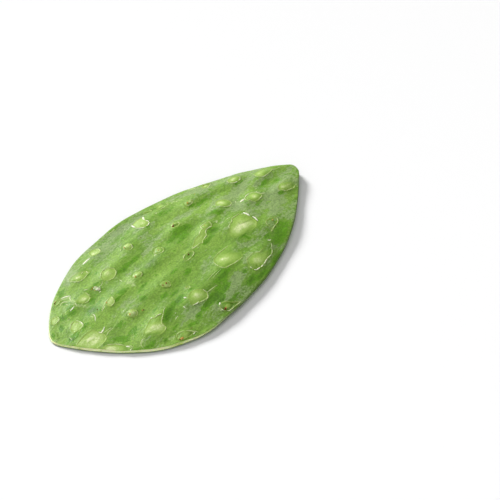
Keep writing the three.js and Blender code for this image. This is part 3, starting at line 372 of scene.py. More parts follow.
# Lifted slivers of skin: width, height, then the points that each runs through.
PEELS = [
    (1.5, 0.8, [(44, -6.6), (44.1, -9), (43.8, -11.8)]),
    (1.3, 0.7, [(44.4, -13.4), (44.2, -15.6), (43.2, -18.2)]),
    (0.5, 0.4, [(42, -7.4), (43.4, -6.8)]), (1.5, 0.8, [(5.6, 39.4), (7, 40.9), (8.8, 42.6)]),
    (1.2, 0.6, [(-1.9, 42.9), (-2.8, 41), (-3.2, 38.8)]),
    (1.4, 0.7, [(52.6, 1.4), (54.4, 1.5), (56.4, 1)]),
    (0.8, 0.4, [(58.4, 2), (61, 2.5), (63.4, 2.4)]), (0.5, 0.3, [(50.6, 3.4), (52.6, 4.8)]),
    (0.5, 0.3, [(66.8, -4), (69.4, -5.1)]), (0.5, 0.3, [(66.4, -0.8), (68, -0.4)]),
    (0.8, 0.4, [(-87, -1.5), (-86.6, -3), (-84.4, -2.8), (-82, -1.8)]),
    (0.35, 0.2, [(-86.5, -4.2), (-83.4, -4.4), (-80, -5.4)]),
    (0.35, 0.2, [(-87, -6.8), (-84, -6), (-79.6, -6.1)]), (0.4, 0.25, [(-74.4, 6.3), (-70, 7.6)]),
    (0.35, 0.25, [(-74, 7.2), (-70, 8.4), (-66.5, 9.2), (-63.6, 9.8)]),
    (0.35, 0.3, [(-56.6, -23.2), (-54, -21.8), (-51.4, -21)]),
    (0.6, 0.4, [(-61.4, -21.2), (-59, -21.6), (-56.8, -22.4)]),
    (0.7, 0.4, [(-63, -19.2), (-62.2, -20)]),
    (0.35, 0.15, [(-82, -29.2), (-80.6, -26.4), (-78, -25), (-75.4, -25.6)]),
    (1, 0.6, [(-39.8, -24.8), (-39.2, -26.6)]),
    (0.7, 0.4, [(-40.4, -33), (-38.4, -33.6), (-36.8, -33.2)]),
    (0.35, 0.2, [(-28.2, -32.5), (-24, -32.7), (-18.6, -33)]),
    (0.25, 0.15, [(-9, -26), (-14, -26), (-20, -26.8)]),
    (0.25, 0.15, [(-5, -27.6), (-11, -27.4), (-16, -27.9)]),
    (0.3, 0.15, [(3, -17.6), (8, -17.6), (13, -17.8)]),
    (0.7, 0.35, [(32.6, -32.4), (33.2, -33.6), (34.4, -34)]),
    (0.35, 0.2, [(44.2, -26), (44.4, -23.6), (46.6, -21.9)]),
    (0.4, 0.25, [(-12.2, -4.2), (-10.5, -2.9), (-8, -2.2)]),
    (0.5, 0.3, [(15.6, 2.6), (17, 5), (18.8, 6.1)]),
    (0.5, 0.3, [(17, 0.8), (19.6, 0.8), (22, 0.4)]),
    (0.35, 0.2, [(10.8, 1.6), (13.2, 2.8), (15.4, 3.4)]), (0.5, 0.25, [(26.4, 0.4), (28.4, 1)]),
    (0.4, 0.2, [(32, -2.8), (34, -2.9), (36, -3.4)]),
    (0.8, 0.4, [(-31.2, -43.6), (-30, -43.2), (-28.8, -42.4)]),
    (0.35, 0.25, [(-57, -41.6), (-55.4, -44), (-54.2, -46.4)]),
    (0.6, 0.4, [(-57.6, -44.9), (-55.6, -44.7)]),
    (0.9, 0.3, [(-77.2, 34.2), (-74.6, 32.8), (-72.8, 31)]),
    (0.6, 0.2, [(-72.8, 30.8), (-75, 29.4), (-76, 27.6)]),
    (0.5, 0.2, [(-82, 30.4), (-80.4, 31.3), (-78.4, 30.6), (-77.4, 28.4)]),
    (0.4, 0.2, [(-79.6, 28.4), (-79.8, 26.8)]),
    (0.9, 0.3, [(-83, 22.4), (-80.8, 22.5), (-79, 22.9)]),
    (0.45, 0.2, [(-76.6, 24.2), (-77.8, 21.8)]),
    (0.6, 0.3, [(-78.4, 10.2), (-78.8, 8), (-80.4, 6.2), (-82, 5)]),
    (0.4, 0.25, [(-80.2, 9.6), (-80.4, 7.4)]),
    (1.3, 0.5, [(-46.8, 43.5), (-44, 43.8), (-40.2, 43.8)]),
    (0.8, 0.35, [(-86.4, -20.4), (-85.2, -22.4)]), (0.6, 0.3, [(-88.2, -24.2), (-85.8, -23.9)]),
    (0.4, 0.3, [(-55.8, -30.8), (-54, -30.6), (-52.2, -30.3)]),
    (0.7, 0.4, [(-51.8, -28.3), (-51.2, -28)]), (0.6, 0.35, [(-45.6, -30.8), (-45, -28.8)]),
    (0.4, 0.25, [(-67.4, 22), (-66.8, 20.8)]),
    (0.4, 0.2, [(-58.8, 21.4), (-55.6, 21.8), (-53.6, 23)]),
    (0.5, 0.3, [(-65.6, 26.8), (-63.4, 25.4)]),
    (0.65, 0.35, [(-62, 21.5), (-60.8, 20.8), (-59.4, 21)]),
    (0.6, 0.3, [(-61.9, 22.3), (-60.6, 21.9), (-59.2, 21.8)]),
    (0.65, 0.35, [(-61.8, 23.2), (-60.4, 22.8), (-58.9, 22.5)]),
    (0.6, 0.3, [(-61.8, 19.9), (-60.4, 19.4), (-59.2, 19.5)]),
    (0.6, 0.3, [(-62, 20.7), (-60.6, 20.1), (-59.3, 20.2)]),
    (0.6, 0.3, [(-62.2, 18.4), (-61.2, 18.2), (-59.8, 18.8)]),
    (0.5, 0.4, [(-58.9, 22.2), (-58.6, 21), (-59.2, 19.8)]),
    (0.6, 0.4, [(-60.2, 24.2), (-58.9, 23)]), (0.5, 0.3, [(-54.8, 38), (-52.8, 38.2)]),
    (0.6, 0.3, [(-51.6, 37), (-51.6, 35.4)]), (0.45, 0.3, [(-89.6, 13.8), (-88, 12)]),
    (0.45, 0.25, [(-98.8, 10), (-99, 8), (-99.8, 7)]), (0.4, 0.2, [(-67.6, -4.4), (-66.6, -2.6)]),
    (0.5, 0.3, [(-26.2, 31.6), (-25, 32.6)]), (0.5, 0.3, [(-7, 44.6), (-6, 45.2)]),
    (0.4, 0.2, [(-15, 50.3), (-12, 50.1), (-9, 50.4)]),
    (0.4, 0.25, [(46, 36.4), (50, 35), (53, 32.8)]), (0.45, 0.25, [(14.4, 37.8), (15.4, 36.8)]),
    (0.35, 0.2, [(-87.6, 4.6), (-86.6, 4.2)]), (0.5, 0.2, [(-47, 16), (-47.6, 13.2)]),
    (0.3, 0.2, [(-60, 11), (-58.8, 12.2)]), (0.5, 0.3, [(-19.2, 12.2), (-17.6, 11.6)]),
]

# Stubs of spines and their felt: x, y, size, and tone (0 straw, 0.5 orange, 0.8 red, 1 brown).
STUBS = [
    (-82.4, 34.8, 0.7, 0.9), (-81.2, 35.2, 0.6, 0.35), (-23.3, 31.1, 0.9, 0.3),
    (-10, 29.5, 0.45, 0.8), (32.4, 26.6, 0.9, 0.5), (44, 29.8, 0.5, 0.45), (55.6, 31.8, 0.6, 0.3),
    (8.8, 19.5, 1.1, 0.88), (10, 20.4, 0.6, 0.3), (-62.6, 23.4, 0.6, 0.5), (-61.2, 24.1, 0.5, 0.4),
    (-60.3, 22.3, 0.45, 0.55), (-62.3, 21.6, 0.5, 0.6), (-60.4, 19.8, 0.4, 0.55),
    (-14.3, 12.8, 0.8, 0.2), (-41, 8.8, 1, 0.28), (-67.8, 8.1, 0.7, 0.35), (-74.3, 9.6, 0.5, 0.95),
    (-36, -9.8, 0.9, 0.8), (-38.4, -9.1, 0.7, 0.9), (-67.5, -8.4, 0.95, 0.28),
    (-60.6, -11.6, 0.6, 0.3), (-59.8, -12, 0.7, 0.95), (-32, -20.7, 0.4, 0.7),
    (-64.2, -41.7, 1.2, 0.3), (-63.3, -42, 1, 0.35), (-65.1, -41.5, 0.7, 1),
    (-54.5, -41.4, 0.45, 0.95), (-30.9, -47.7, 1, 0.75), (-30.1, -47.6, 0.8, 0.3),
    (-31.6, -47.8, 0.8, 1), (50, -24.4, 0.8, 0.35), (19.4, 3.9, 0.7, 0.25), (17.5, 42.7, 0.6, 0.95),
    (-7.4, -4, 0.9, 0.98), (-50.2, 42.4, 0.4, 0.9), (-65.1, -8, 0.4, 0.1), (62.5, -1.4, 0.4, 0.1),
]

# ---- Camera and light -------------------------------------------------------------------------
# The target is in the pad's plan, the lens and the sensor are in millimetres, and the other
# lengths of this section are in metres.
CAMERA_TURN = math.radians(54.91)
CAMERA_ELEVATION = math.radians(38)
CAMERA_DISTANCE = 0.9
CAMERA_LENS = 109.7
CAMERA_SENSOR = 36
CAMERA_CLIP = 0.05
CAMERA_TARGET = (20.9, -28.1, MARGIN_TOP)
KEY_POWER = 3.95
KEY_WIDTH = math.radians(20)
KEY_DIRECTION = (-0.22, -0.95, -0.53)
FILL_POWER = 0.7
FILL_WIDTH = math.radians(60)
FILL_DIRECTION = (0.85, 0.5, -0.4)
OVERHEAD_POWER = 7
OVERHEAD_SIZE = 1.8
OVERHEAD_PLACE = (-0.2, 0, 1.8)
WORLD_STRENGTH = 0.26
FLOOR_HALF = 3

# ---- Mesh fineness ----------------------------------------------------------------------------
LOOP_POINTS = 900
OPEN_SPACING = 0.95
SCAR_SPACING = 0.36
SCAR_SURROUND = 0.9  # the finer spacing starts this far outside a slice
LOWER_SPACING = 1.35
LOWER_SCAR_SPACING = 0.7
RIM_OFFSETS = (-0.4, 0, 0.35)  # rows of points along a mark's rim, in mm outside it
RIM_CLEARANCE = 0.2
MARGIN_CLEARANCE = 0.45  # no point nearer the margin than this share of the spacing
LATTICE_HALF_LENGTH = 112
LATTICE_HALF_WIDTH = 56
LATTICE_JITTER = 0.12  # how far its points stray, as a share of the spacing
LOOP_SAMPLES = 60  # steps of each spline from corner to corner, before they are made even
RUN_SAMPLES = 24
PEEL_STEP = 0.45

# ---- Slices, margin and underside -------------------------------------------------------------
MARK_REACH = 2.7  # a mark's swelling has all but ended at this many half lengths
SLICE_DEPTH = 0.12
LIP_HEIGHT = 0.1
SLICE_FADE = 0.85  # the share of a slice that is gone where it fades into the skin
SLICE_REACH = 1.5  # nothing of a slice shows further outside its outline than this
RIM_STRENGTH = 0.5  # of the pale line along a slice
LOWER_PALENESS = 0.7
RIM_REACH = 1.5  # how far the paint round a mark is worked out, in half lengths
GROOVE_REACH = 1.8
KNOB_SHADE = 0.8
SWELLING_SHADE = 0.2
PATCH_FALL = 0.9  # a patch of paint fades as exp(-PATCH_FALL * r ** PATCH_POWER)
PATCH_POWER = 2.2
# Rows of vertices down the margin: how far out and how far down, as shares of the whole. The
# rows above CREAM_SHARE are cream by the broad tip and turn to an olive painted shade between two
# places along x; the rows below it are painted shade.
MARGIN_ROWS = [
    (0.15, 0.04), (0.5, 0.25), (0.8, 0.5), (0.92, 0.6), (1, BEVEL_DROP), (0.9, 0.86), (0.6, 0.96),
]
CREAM_SHARE = 0.65
MARGIN_SHADE_START = -68
MARGIN_SHADE_END = -22
MARGIN_SHADE_COVER = 0.95
OLIVE_SHADE = 0.7

# ---- Slivers of skin and stubs of spines ------------------------------------------------------
# One section across a sliver: how far to the side, as a share of its half width, and how high,
# as a share of its height, with the depth in mm that is sunk or hollowed below that.
SLIVER_SECTION = [
    (-1, 0, -0.15), (-0.6, 0.45, 0), (0.3, 1, 0), (1, 0.8, 0), (0.6, 0.75, -0.16), (-0.1, 0, -0.15),
]
SLIVER_WIDTHS = (0.7, 1.2)
SLIVER_HEIGHTS = (0.75, 1.1)
SLIVER_WANDER = 0.06
PEEL_LIFT = 0.4  # every height in PEELS is multiplied by this
# The slivers along a slice's edge: points in a run, points left out after it, how it wanders
# from the outline, its width as a share of the slice's own, and its height.
EDGE_RUN = (6, 16)
EDGE_GAP = (0, 3)
EDGE_WANDER = 0.05
EDGE_WIDTHS = (0.75, 1.15)
EDGE_HEIGHTS = (0.1, 0.2)
# The wider a sliver is, the drier and paler: from the first width, fully after so much more.
DRY_WIDTH_START = 0.3
DRY_WIDTH_RANGE = 0.8
# A stub's rings from the skin upward: radius and height as shares of the whole.
STUB_SIDES = 9
STUB_RINGS = [(1, -0.25), (0.98, 0.2), (0.75, 0.6), (0.4, 0.82)]
STUB_TOP = 0.92
STUB_HEIGHT = 0.8
STUB_LEAN = 0.3
STUB_UNEVEN = (0.85, 1.15)


# ---- Form of the pad --------------------------------------------------------------------------
def smooth(start, end, value):
    t = np.clip((value - start) / (end - start), 0.0, 1.0)
    return t * t * (3.0 - 2.0 * t)


def seeded_random(seed):
    """The same plain sequence that the part's source draws from."""
    state = seed
    while True:
        state = (state * 1664525 + 1013904223) % 4294967296
        yield state / 4294967296


def turned(x, y, centre_x, centre_y, turn):
    """Offsets from a centre, along and across a direction given in degrees."""
    angle = math.radians(turn)
    dx, dy = x - centre_x, y - centre_y
    return dx * math.cos(angle) + dy * math.sin(angle), dy * math.cos(angle) - dx * math.sin(angle)


def unevenness(mark, turn):
    """The radius of a mark's uneven rim, as a share of a true oval's."""
    return 1 + 0.07 * np.sin(3 * turn + mark.x) + 0.04 * np.sin(5 * turn + mark.y)


def mark_polar(mark, x, y):
    """Distance from a mark's middle, 1 at its uneven rim, the turn, and mm outside the rim."""
    u, v = turned(x, y, mark.x, mark.y, mark.turn)
    turn = np.arctan2(v / mark.half_width, u / mark.half_length)
    r = np.hypot(u / mark.half_length, v / mark.half_width) / unevenness(mark, turn)
    beyond = (r - 1) * math.sqrt(mark.half_length * mark.half_width)
    return r, turn, beyond


def facing_lip(mark, x, y):
    return np.cos(np.arctan2(y - mark.y, x - mark.x) - math.radians(mark.lip))


def mark_relief(mark, x, y):
    """The swelling under a mark: sliced flat, with a lip of skin on one side, or a whole knob."""
    r, _, beyond = mark_polar(mark, x, y)
    rise = abs(mark.rise)
    swelling = rise * np.exp(-((r / SWELLING_REACH) ** 2)) * (1 - smooth(1.8, 2.6, r))
    facing = 0 if mark.lip is None else smooth(-0.4, 0.5, facing_lip(mark, x, y))
    lip = FLAP_LIFT * facing * np.exp(-(((beyond - 0.3) / 0.3) ** 2))
    if mark.rise < 0:
        knob = KNOB_HEIGHT * rise * (1 - smooth(0.35, 1.0, r))
        moat = MOAT_DEPTH * np.exp(-(((r - 1.12) / 0.18) ** 2))
        return swelling + knob - moat + 0.6 * lip
    slice_top = rise * (0.94 - 0.26 * r * r) - FLAP_SINK * facing
    edge = 0.55 + 0.33 * facing
    return swelling + (slice_top - swelling) * (1 - smooth(edge, 1.03, r)) + lip


def ripple(x, y):
    """Fine lengthwise ridges of the skin over the fibres."""
    drift = 4 * np.sin(x / 31 + 0.7)
    fine = FINE_RIPPLE * np.sin((y + drift) / 2.7 + np.sin(x / 23))
    broad = BROAD_RIPPLE * np.sin((y - 0.5 * drift) / 5.1 + x / 55 + 1.9)
    return fine + broad + SWAY * np.sin(x / 12.5 + y / 9 + 0.4)


def folds(x, y):
    z = np.zeros(len(x))
    for centre_x, centre_y, half_length, half_width, turn, height in FOLDS:
        u, v = turned(x, y, centre_x, centre_y, turn)
        z += FOLD_LIFT * height * np.exp(-((u / half_length) ** 2) - (v / half_width) ** 2)
    return z


def crown(x, y):
    along = (x - CROWN_CENTRE) / CROWN_HALF_LENGTH
    across = y / CROWN_HALF_WIDTH
    return np.maximum(0, 1 - along * along - across * across)


def rounding(gap):
    """How far the crown has risen at a distance in from the margin."""
    return 1 - np.exp(-np.maximum(0, gap) / EDGE_ROUND)


def level(x, y):
    """Height of the margin: the broad tip dips to the surface that the pad lies on."""
    return MARGIN_TOP - TIP_DIP * smooth(DIP_START, DIP_END, -0.9 * x - 0.45 * y)


def warp(x, y):
    """The whole pad is gently twisted and waved."""
    return TWIST * np.sin(x / 34 + 0.8) * (y / 50) + WAVE * np.sin(x / 40 - 0.6)


def margin_thickness(x):
    side = TIP_THICKNESS + (SIDE_THICKNESS - TIP_THICKNESS) * smooth(-70, 20, x)
    return side + (BASE_THICKNESS - SIDE_THICKNESS) * smooth(75, 108, x)


def near(mark, x, y, reach):
    """Which points are within so many half lengths of a mark, with 1 mm to spare."""
    size = reach * max(mark.half_length, mark.half_width) + 1
    return np.hypot(x - mark.x, y - mark.y) < size


def add_marks(z, marks, x, y, sign):
    for mark in marks:
        here = near(mark, x, y, MARK_REACH)
        z[here] += sign * mark_relief(mark, x[here], y[here])


def by_slice(cut, x, y):
    """The points close to a slice, how far each is inside its outline, and how much it shows."""
    outline = np.array(cut.outline)
    low = outline.min(axis=0) - SLICE_REACH
    high = outline.max(axis=0) + SLICE_REACH
    here = np.nonzero((x > low[0]) & (x < high[0]) & (y > low[1]) & (y < high[1]))[0]
    gap = inside_by(outline, x[here], y[here])
    if cut.fade is None:
        return here, gap, np.ones(len(here))
    angle = math.radians(cut.fade)
    along = x * math.cos(angle) + y * math.sin(angle)
    reach = outline @ (math.cos(angle), math.sin(angle))
    middle = 0.5 * (reach.min() + reach.max())
    start = middle - 0.1 * (middle - reach.min())
    return here, gap, 1 - SLICE_FADE * smooth(start, reach.max(), along[here])


def add_slices(z, x, y):
    """A shallow step down into each slice, and the lip of skin that stands round it."""
    for cut in SLICES:
        here, gap, shown = by_slice(cut, x, y)
        step = SLICE_DEPTH * smooth(-0.1, 0.5, gap)
        lip = LIP_HEIGHT * np.exp(-(((gap + 0.15) / 0.3) ** 2))
        z[here] += shown * (lip - step)


# ---- Margin -----------------------------------------------------------------------------------
def distances(line):
    """How far along a line of points each of them is."""
    return np.r_[0, np.cumsum(np.hypot(*np.diff(line, axis=0).T))]


def at_distances(line, steps):
    length = distances(line)
    return np.c_[np.interp(steps, length, line[:, 0]), np.interp(steps, length, line[:, 1])]


def spline_loop(corners, count):
    """A closed centripetal Catmull-Rom spline through the corners, in even steps."""
    corners = np.array(corners, float)
    dense = []
    for i in range(len(corners)):
        p0, p1, p2, p3 = (corners[(i + k) % len(corners)] for k in (-1, 0, 1, 2))
        s0, s1, s2 = (math.sqrt(math.dist(a, b)) for a, b in ((p0, p1), (p1, p2), (p2, p3)))
        m1 = ((p1 - p0) / s0 - (p2 - p0) / (s0 + s1) + (p2 - p1) / s1) * s1
        m2 = ((p2 - p1) / s1 - (p3 - p1) / (s1 + s2) + (p3 - p2) / s2) * s1
        for t in np.linspace(0, 1, LOOP_SAMPLES, endpoint=False):
            cubic = (2 * p1 - 2 * p2 + m1 + m2) * t**3
            square = (3 * p2 - 3 * p1 - 2 * m1 - m2) * t**2
            dense.append(p1 + m1 * t + square + cubic)
    dense = np.array(dense + dense[:1])
    steps = np.linspace(0, distances(dense)[-1], count, endpoint=False)
    return at_distances(dense, steps)[::-1]


def outward(loop):
    reach = 2 * len(loop) // SOURCE_LOOP_POINTS
    tangent = np.roll(loop, -reach, axis=0) - np.roll(loop, reach, axis=0)
    normal = np.c_[tangent[:, 1], -tangent[:, 0]]
    return normal / np.hypot(*normal.T)[:, None]


def uneven(loop):
    """How far each place on the margin leans out, as a share: knife strokes are never even."""
    i = np.arange(len(loop)) * SOURCE_LOOP_POINTS / len(loop)
    return 1 + 0.35 * np.sin(i * 0.19) + 0.2 * np.sin(i * 0.47 + 1)


def bevel_width(loop):
    """The cut edge slants out further along one side of the broad tip."""
    x, y = loop.T
    return BEVEL_OUT + TIP_BEVEL * smooth(-48, -72, x) * smooth(10, -8, y)


def shifted_loop(loop, share):
    """The loop moved out by a share of the cut edge's slant."""
    return loop + outward(loop) * (share * uneven(loop) * bevel_width(loop))[:, None]


def inside_by(loop, x, y):
    """Signed distance from points to the loop, positive inside."""
    nearest = np.full(len(x), np.inf)
    inside = np.zeros(len(x), bool)
    for a, b in zip(loop, np.roll(loop, -1, axis=0)):
        side = b - a
        t = np.clip(((x - a[0]) * side[0] + (y - a[1]) * side[1]) / (side @ side), 0, 1)
        gap = (x - a[0] - t * side[0]) ** 2 + (y - a[1] - t * side[1]) ** 2
        nearest = np.minimum(nearest, gap)
        if a[1] != b[1]:
            crosses = (a[1] > y) != (b[1] > y)
            inside ^= crosses & (x < a[0] + side[0] * (y - a[1]) / side[1])
    return np.where(inside, np.sqrt(nearest), -np.sqrt(nearest))


UPPER_LOOP = spline_loop(MARGIN, LOOP_POINTS)
LOWER_LOOP = shifted_loop(UPPER_LOOP, LOWER_LOOP_OUT)


# ---- The two faces ----------------------------------------------------------------------------
def lower_areoles():
    """A slanting grid of areoles on the side that can't be seen, as in the part's source."""
    random = seeded_random(SEED)
    marks = []
    for row in range(-3, 4):
        for column in range(-4, 5):
            shift = 0 if row % 2 == 0 else LOWER_COLUMN_STEP / 2
            x = column * LOWER_COLUMN_STEP + shift + LOWER_JITTER * (2 * next(random) - 1)
            y = row * LOWER_ROW_STEP - 0.12 * x + LOWER_JITTER * (2 * next(random) - 1)
            half_length = 2.6 + 3.4 * next(random)
            half_width = half_length * (0.6 + 0.25 * next(random))
            knob = next(random) < 0.3
            rise = -0.6 if knob else 0.5 + 0.5 * next(random)
            lip = 360 * next(random)
            if inside_by(LOWER_LOOP[::4], np.array([x]), np.array([y]))[0] < LOWER_MARGIN_GAP:
                continue
            marks.append(Mark(x, y, half_length, half_width, 0, rise, lip))
    return marks


UPPER_MARKS = [Mark(*row) for row in UPPER_AREOLES + UPPER_CUTS]
LOWER_MARKS = lower_areoles()


def upper_height(x, y):
    risen = rounding(inside_by(UPPER_LOOP[::3], x, y))
    z = level(x, y) + CROWN_UP * crown(x, y) * risen + warp(x, y)
    z += ripple(x, y) + folds(x, y) * (0.4 + 0.6 * risen)
    add_marks(z, UPPER_MARKS, x, y, 1)
    add_slices(z, x, y)
    return z


def lower_height(x, y):
    """The belly is pressed flat where it lies, so nothing of it is below zero."""
    risen = rounding(inside_by(LOWER_LOOP[::3], x, y))
    drop = CROWN_DOWN * crown(x, y) * risen + margin_thickness(x)
    z = level(x, y) - drop + warp(x, y) * (1 - crown(x, y))
    z += 0.6 * ripple(-x, y + 11) * risen * (1 - smooth(0.7, 0.98, crown(x, y)))
    add_marks(z, LOWER_MARKS, x, y, -1)
    return np.maximum(0, z)


# ---- Triangles --------------------------------------------------------------------------------
def lattice(spacing):
    step = spacing * math.sqrt(3) / 2
    last_row = int(LATTICE_HALF_WIDTH / step)
    last_column = int(LATTICE_HALF_LENGTH / spacing)
    rows = np.arange(-last_row, last_row + 1)
    columns = np.arange(-last_column, last_column + 1)
    gx, gy = np.meshgrid(columns * spacing, rows * step)
    gx = gx + (np.arange(len(rows)) % 2)[:, None] * spacing / 2
    rng = np.random.default_rng(SEED)
    jitter = rng.uniform(-LATTICE_JITTER, LATTICE_JITTER, (2, gx.size)) * spacing
    return gx.ravel() + jitter[0], gy.ravel() + jitter[1]


def rim_points(mark):
    """Points that follow an unturned mark's uneven rim, so that its edge is crisp."""
    scale = math.sqrt(mark.half_length * mark.half_width)
    found = []
    for offset in RIM_OFFSETS:
        count = max(12, int(2 * math.pi * (scale + offset) / LOWER_SCAR_SPACING))
        turn = (np.arange(count) + 0.5 * (len(found) % 2)) * 2 * math.pi / count
        r = (1 + offset / scale) * unevenness(mark, turn)
        x = mark.x + mark.half_length * r * np.cos(turn)
        y = mark.y + mark.half_width * r * np.sin(turn)
        found.append(np.c_[x, y])
    return np.vstack(found)


def slice_zone(x, y):
    """Where the upper face needs the finer lattice: in each slice and just round it."""
    fine = np.zeros(len(x), bool)
    for cut in SLICES:
        here, gap, _ = by_slice(cut, x, y)
        fine[here] |= gap > -SCAR_SURROUND
    return fine


def clear_of(loop, points, spacing):
    """The points that aren't too close to the margin for fair triangles."""
    gap = inside_by(loop[::3], points[:, 0], points[:, 1])
    return points[gap > MARGIN_CLEARANCE * spacing]


def upper_scatter():
    """Points inside the margin of the upper face: an open lattice, and a finer one in slices."""
    x, y = lattice(OPEN_SPACING)
    fine_x, fine_y = lattice(SCAR_SPACING)
    keep = ~slice_zone(x, y)
    fine = slice_zone(fine_x, fine_y)
    points = np.vstack([np.c_[x[keep], y[keep]], np.c_[fine_x[fine], fine_y[fine]]])
    return clear_of(UPPER_LOOP, points, OPEN_SPACING)


def lower_scatter():
    """The same for the underside, with points along the rim of each mark as well."""
    x, y = lattice(LOWER_SPACING)
    fine_x, fine_y = lattice(LOWER_SCAR_SPACING)
    keep = np.ones(len(x), bool)
    close = np.zeros(len(fine_x), bool)
    off_rim = np.ones(len(fine_x), bool)
    for mark in LOWER_MARKS:
        beyond = mark_polar(mark, x, y)[2]
        keep &= beyond > RIM_OFFSETS[-1] + 0.5 * LOWER_SPACING
        beyond = mark_polar(mark, fine_x, fine_y)[2]
        close |= beyond < RIM_OFFSETS[-1] + 0.4 * LOWER_SPACING
        within = beyond < RIM_OFFSETS[0] - RIM_CLEARANCE
        off_rim &= within | (beyond > RIM_OFFSETS[-1] + RIM_CLEARANCE)
    fine = close & off_rim
    rims = [rim_points(mark) for mark in LOWER_MARKS]
    points = np.vstack([np.c_[x[keep], y[keep]], np.c_[fine_x[fine], fine_y[fine]], *rims])
    return clear_of(LOWER_LOOP, points, LOWER_SPACING)


def triangulate(loop, points):
    """Delaunay triangles that keep to the margin, wound anticlockwise from above."""
    every = [Vector(p) for p in np.vstack([loop, points]).tolist()]
    face = list(range(len(loop)))
    found = delaunay_2d_cdt(every, [], [face], 1, 1e-5, True)
    corners = np.array([tuple(v) for v in found[0]])
    triangles = np.array(found[2])
    sources = [ids[0] if ids else -1 for ids in found[3]]
    a, b, c = (corners[triangles[:, k]] for k in range(3))
    area = (b[:, 0] - a[:, 0]) * (c[:, 1] - a[:, 1]) - (b[:, 1] - a[:, 1]) * (c[:, 0] - a[:, 0])
    flipped = area < 0
    triangles[flipped] = triangles[flipped][:, ::-1]
    return corners, triangles, np.array(sources)


def loop_ranks(source):
    """Where each point of a loop has gone in a triangulation."""
    rank = np.full(LOOP_POINTS, -1)
    on_loop = np.nonzero((source >= 0) & (source < LOOP_POINTS))[0]
    rank[source[on_loop]] = on_loop
    return rank


def band(above, beneath):
    """Triangles between two loops of vertices, one under the other."""
    after = np.roll(above, -1)
    under = np.roll(beneath, -1)
    return np.vstack([np.c_[above, beneath, after], np.c_[after, beneath, under]])


# ---- Marks as paint masks ---------------------------------------------------------------------
def mark_mask(marks, x, y, reach, paint):
    """The strongest paint that any of the marks gives each point."""
    mask = np.zeros(len(x))
    for mark in marks:
        here = near(mark, x, y, reach)
        mask[here] = np.maximum(mask[here], paint(mark, x[here], y[here]))
    return mask


def pale_flesh(mark, x, y):
    """How much flesh a mark shows, up to a crisp end by its lifted edge."""
    r = mark_polar(mark, x, y)[0]
    facing = smooth(-0.3, 0.6, facing_lip(mark, x, y))
    body = 1 - smooth(0.4 + 0.45 * facing, 1.12 - 0.08 * facing, r)
    return LOWER_PALENESS * body * (0.34 + 0.3 * np.exp(-((r / 0.55) ** 2)))


def drying_rim(mark, x, y):
    """The thin line of drying skin round a mark, brightest on its lifted side."""
    _, turn, beyond = mark_polar(mark, x, y)
    facing = smooth(-0.6, 0.4, facing_lip(mark, x, y))
    broken = 0.5 + 0.5 * np.sin(5 * turn + mark.x + mark.y)
    return np.exp(-(((beyond - 0.1) / 0.3) ** 2)) * (0.15 + 0.5 * facing * broken)


def groove_shade(mark, x, y):
    """Painted shade in the groove round a knob and on the near side of a swelling, which faces away
    from the light.
    """
    r = mark_polar(mark, x, y)[0]
    dx, dy = x - mark.x, y - mark.y
    beneath = smooth(-0.2, 0.9, -dy / (1 + np.hypot(dx, dy)))
    ring = np.exp(-(((r - 1.2) / 0.2) ** 2)) * (0.25 + 0.75 * beneath)
    return ring * (KNOB_SHADE if mark.rise < 0 else SWELLING_SHADE)


def groove_shade_mask(marks, x, y):
    return mark_mask(marks, x, y, GROOVE_REACH, groove_shade)


def patch_mask(patches, x, y):
    """Soft oval patches, each written as x, y, half length, half width, turn, strength."""
    clear = np.ones(len(x))
    for centre_x, centre_y, half_length, half_width, turn, strength in patches:
        u, v = turned(x, y, centre_x, centre_y, turn)
        r = np.hypot(u / half_length, v / half_width)
        clear *= 1 - min(strength, 1) * np.exp(-PATCH_FALL * r**PATCH_POWER)
    return 1 - clear


def slice_paint(x, y):
    """Pale flesh inside the slices' outlines, and the drying line along them."""
    flesh = np.zeros(len(x))
    rim = np.zeros(len(x))
    for cut in SLICES:
        here, gap, shown = by_slice(cut, x, y)
        flesh[here] = np.maximum(flesh[here], cut.pale * shown * smooth(-0.25, 0.3, gap))
        rim[here] = np.maximum(rim[here], RIM_STRENGTH * shown * np.exp(-((gap / 0.3) ** 2)))
    return flesh, rim


# ---- The pad's mesh ---------------------------------------------------------------------------
# The masks that each colour attribute of the skin carries in its red, green and blue.
PAINTS = {
    "marks": ("flesh", "rim", "rubbed_and_shade"),
    "dress": ("smear", "shade_and_nicks", "cut"),
    "cover": ("bloom_and_sheen", "fresh", "lighter_and_lit"),
    "depth": ("deeper_and_shade",),
}


def upper_paint(x, y):
    flesh, rim = slice_paint(x, y)
    return {
        # Pale flesh of the slices, with small painted highlights.
        "flesh": flesh + (1 - flesh) * patch_mask(GLOWS_AND_HIGHLIGHTS, x, y),
        "rim": rim,
        # Rubbed bloom, partly painted shade.
        "rubbed_and_shade": patch_mask(RUBBED_AND_SHADED, x, y),
        "smear": patch_mask(SMEARS, x, y),
        # Painted shade in grooves and under swellings, with the dark nicks.
        "shade_and_nicks": np.maximum(groove_shade_mask(UPPER_MARKS, x, y), patch_mask(NICKS, x, y)),
        # Thickest bloom, with a painted sheen.
        "bloom_and_sheen": patch_mask(BLOOMS_AND_SHEEN, x, y),
        "fresh": patch_mask(FRESH, x, y),
        # Lighter skin and painted light.
        "lighter_and_lit": patch_mask(LIGHTER_AND_LIT, x, y),
        # Deeper green skin and painted shade.
        "deeper_and_shade": patch_mask(DEEPER_AND_SHADED, x, y),
    }


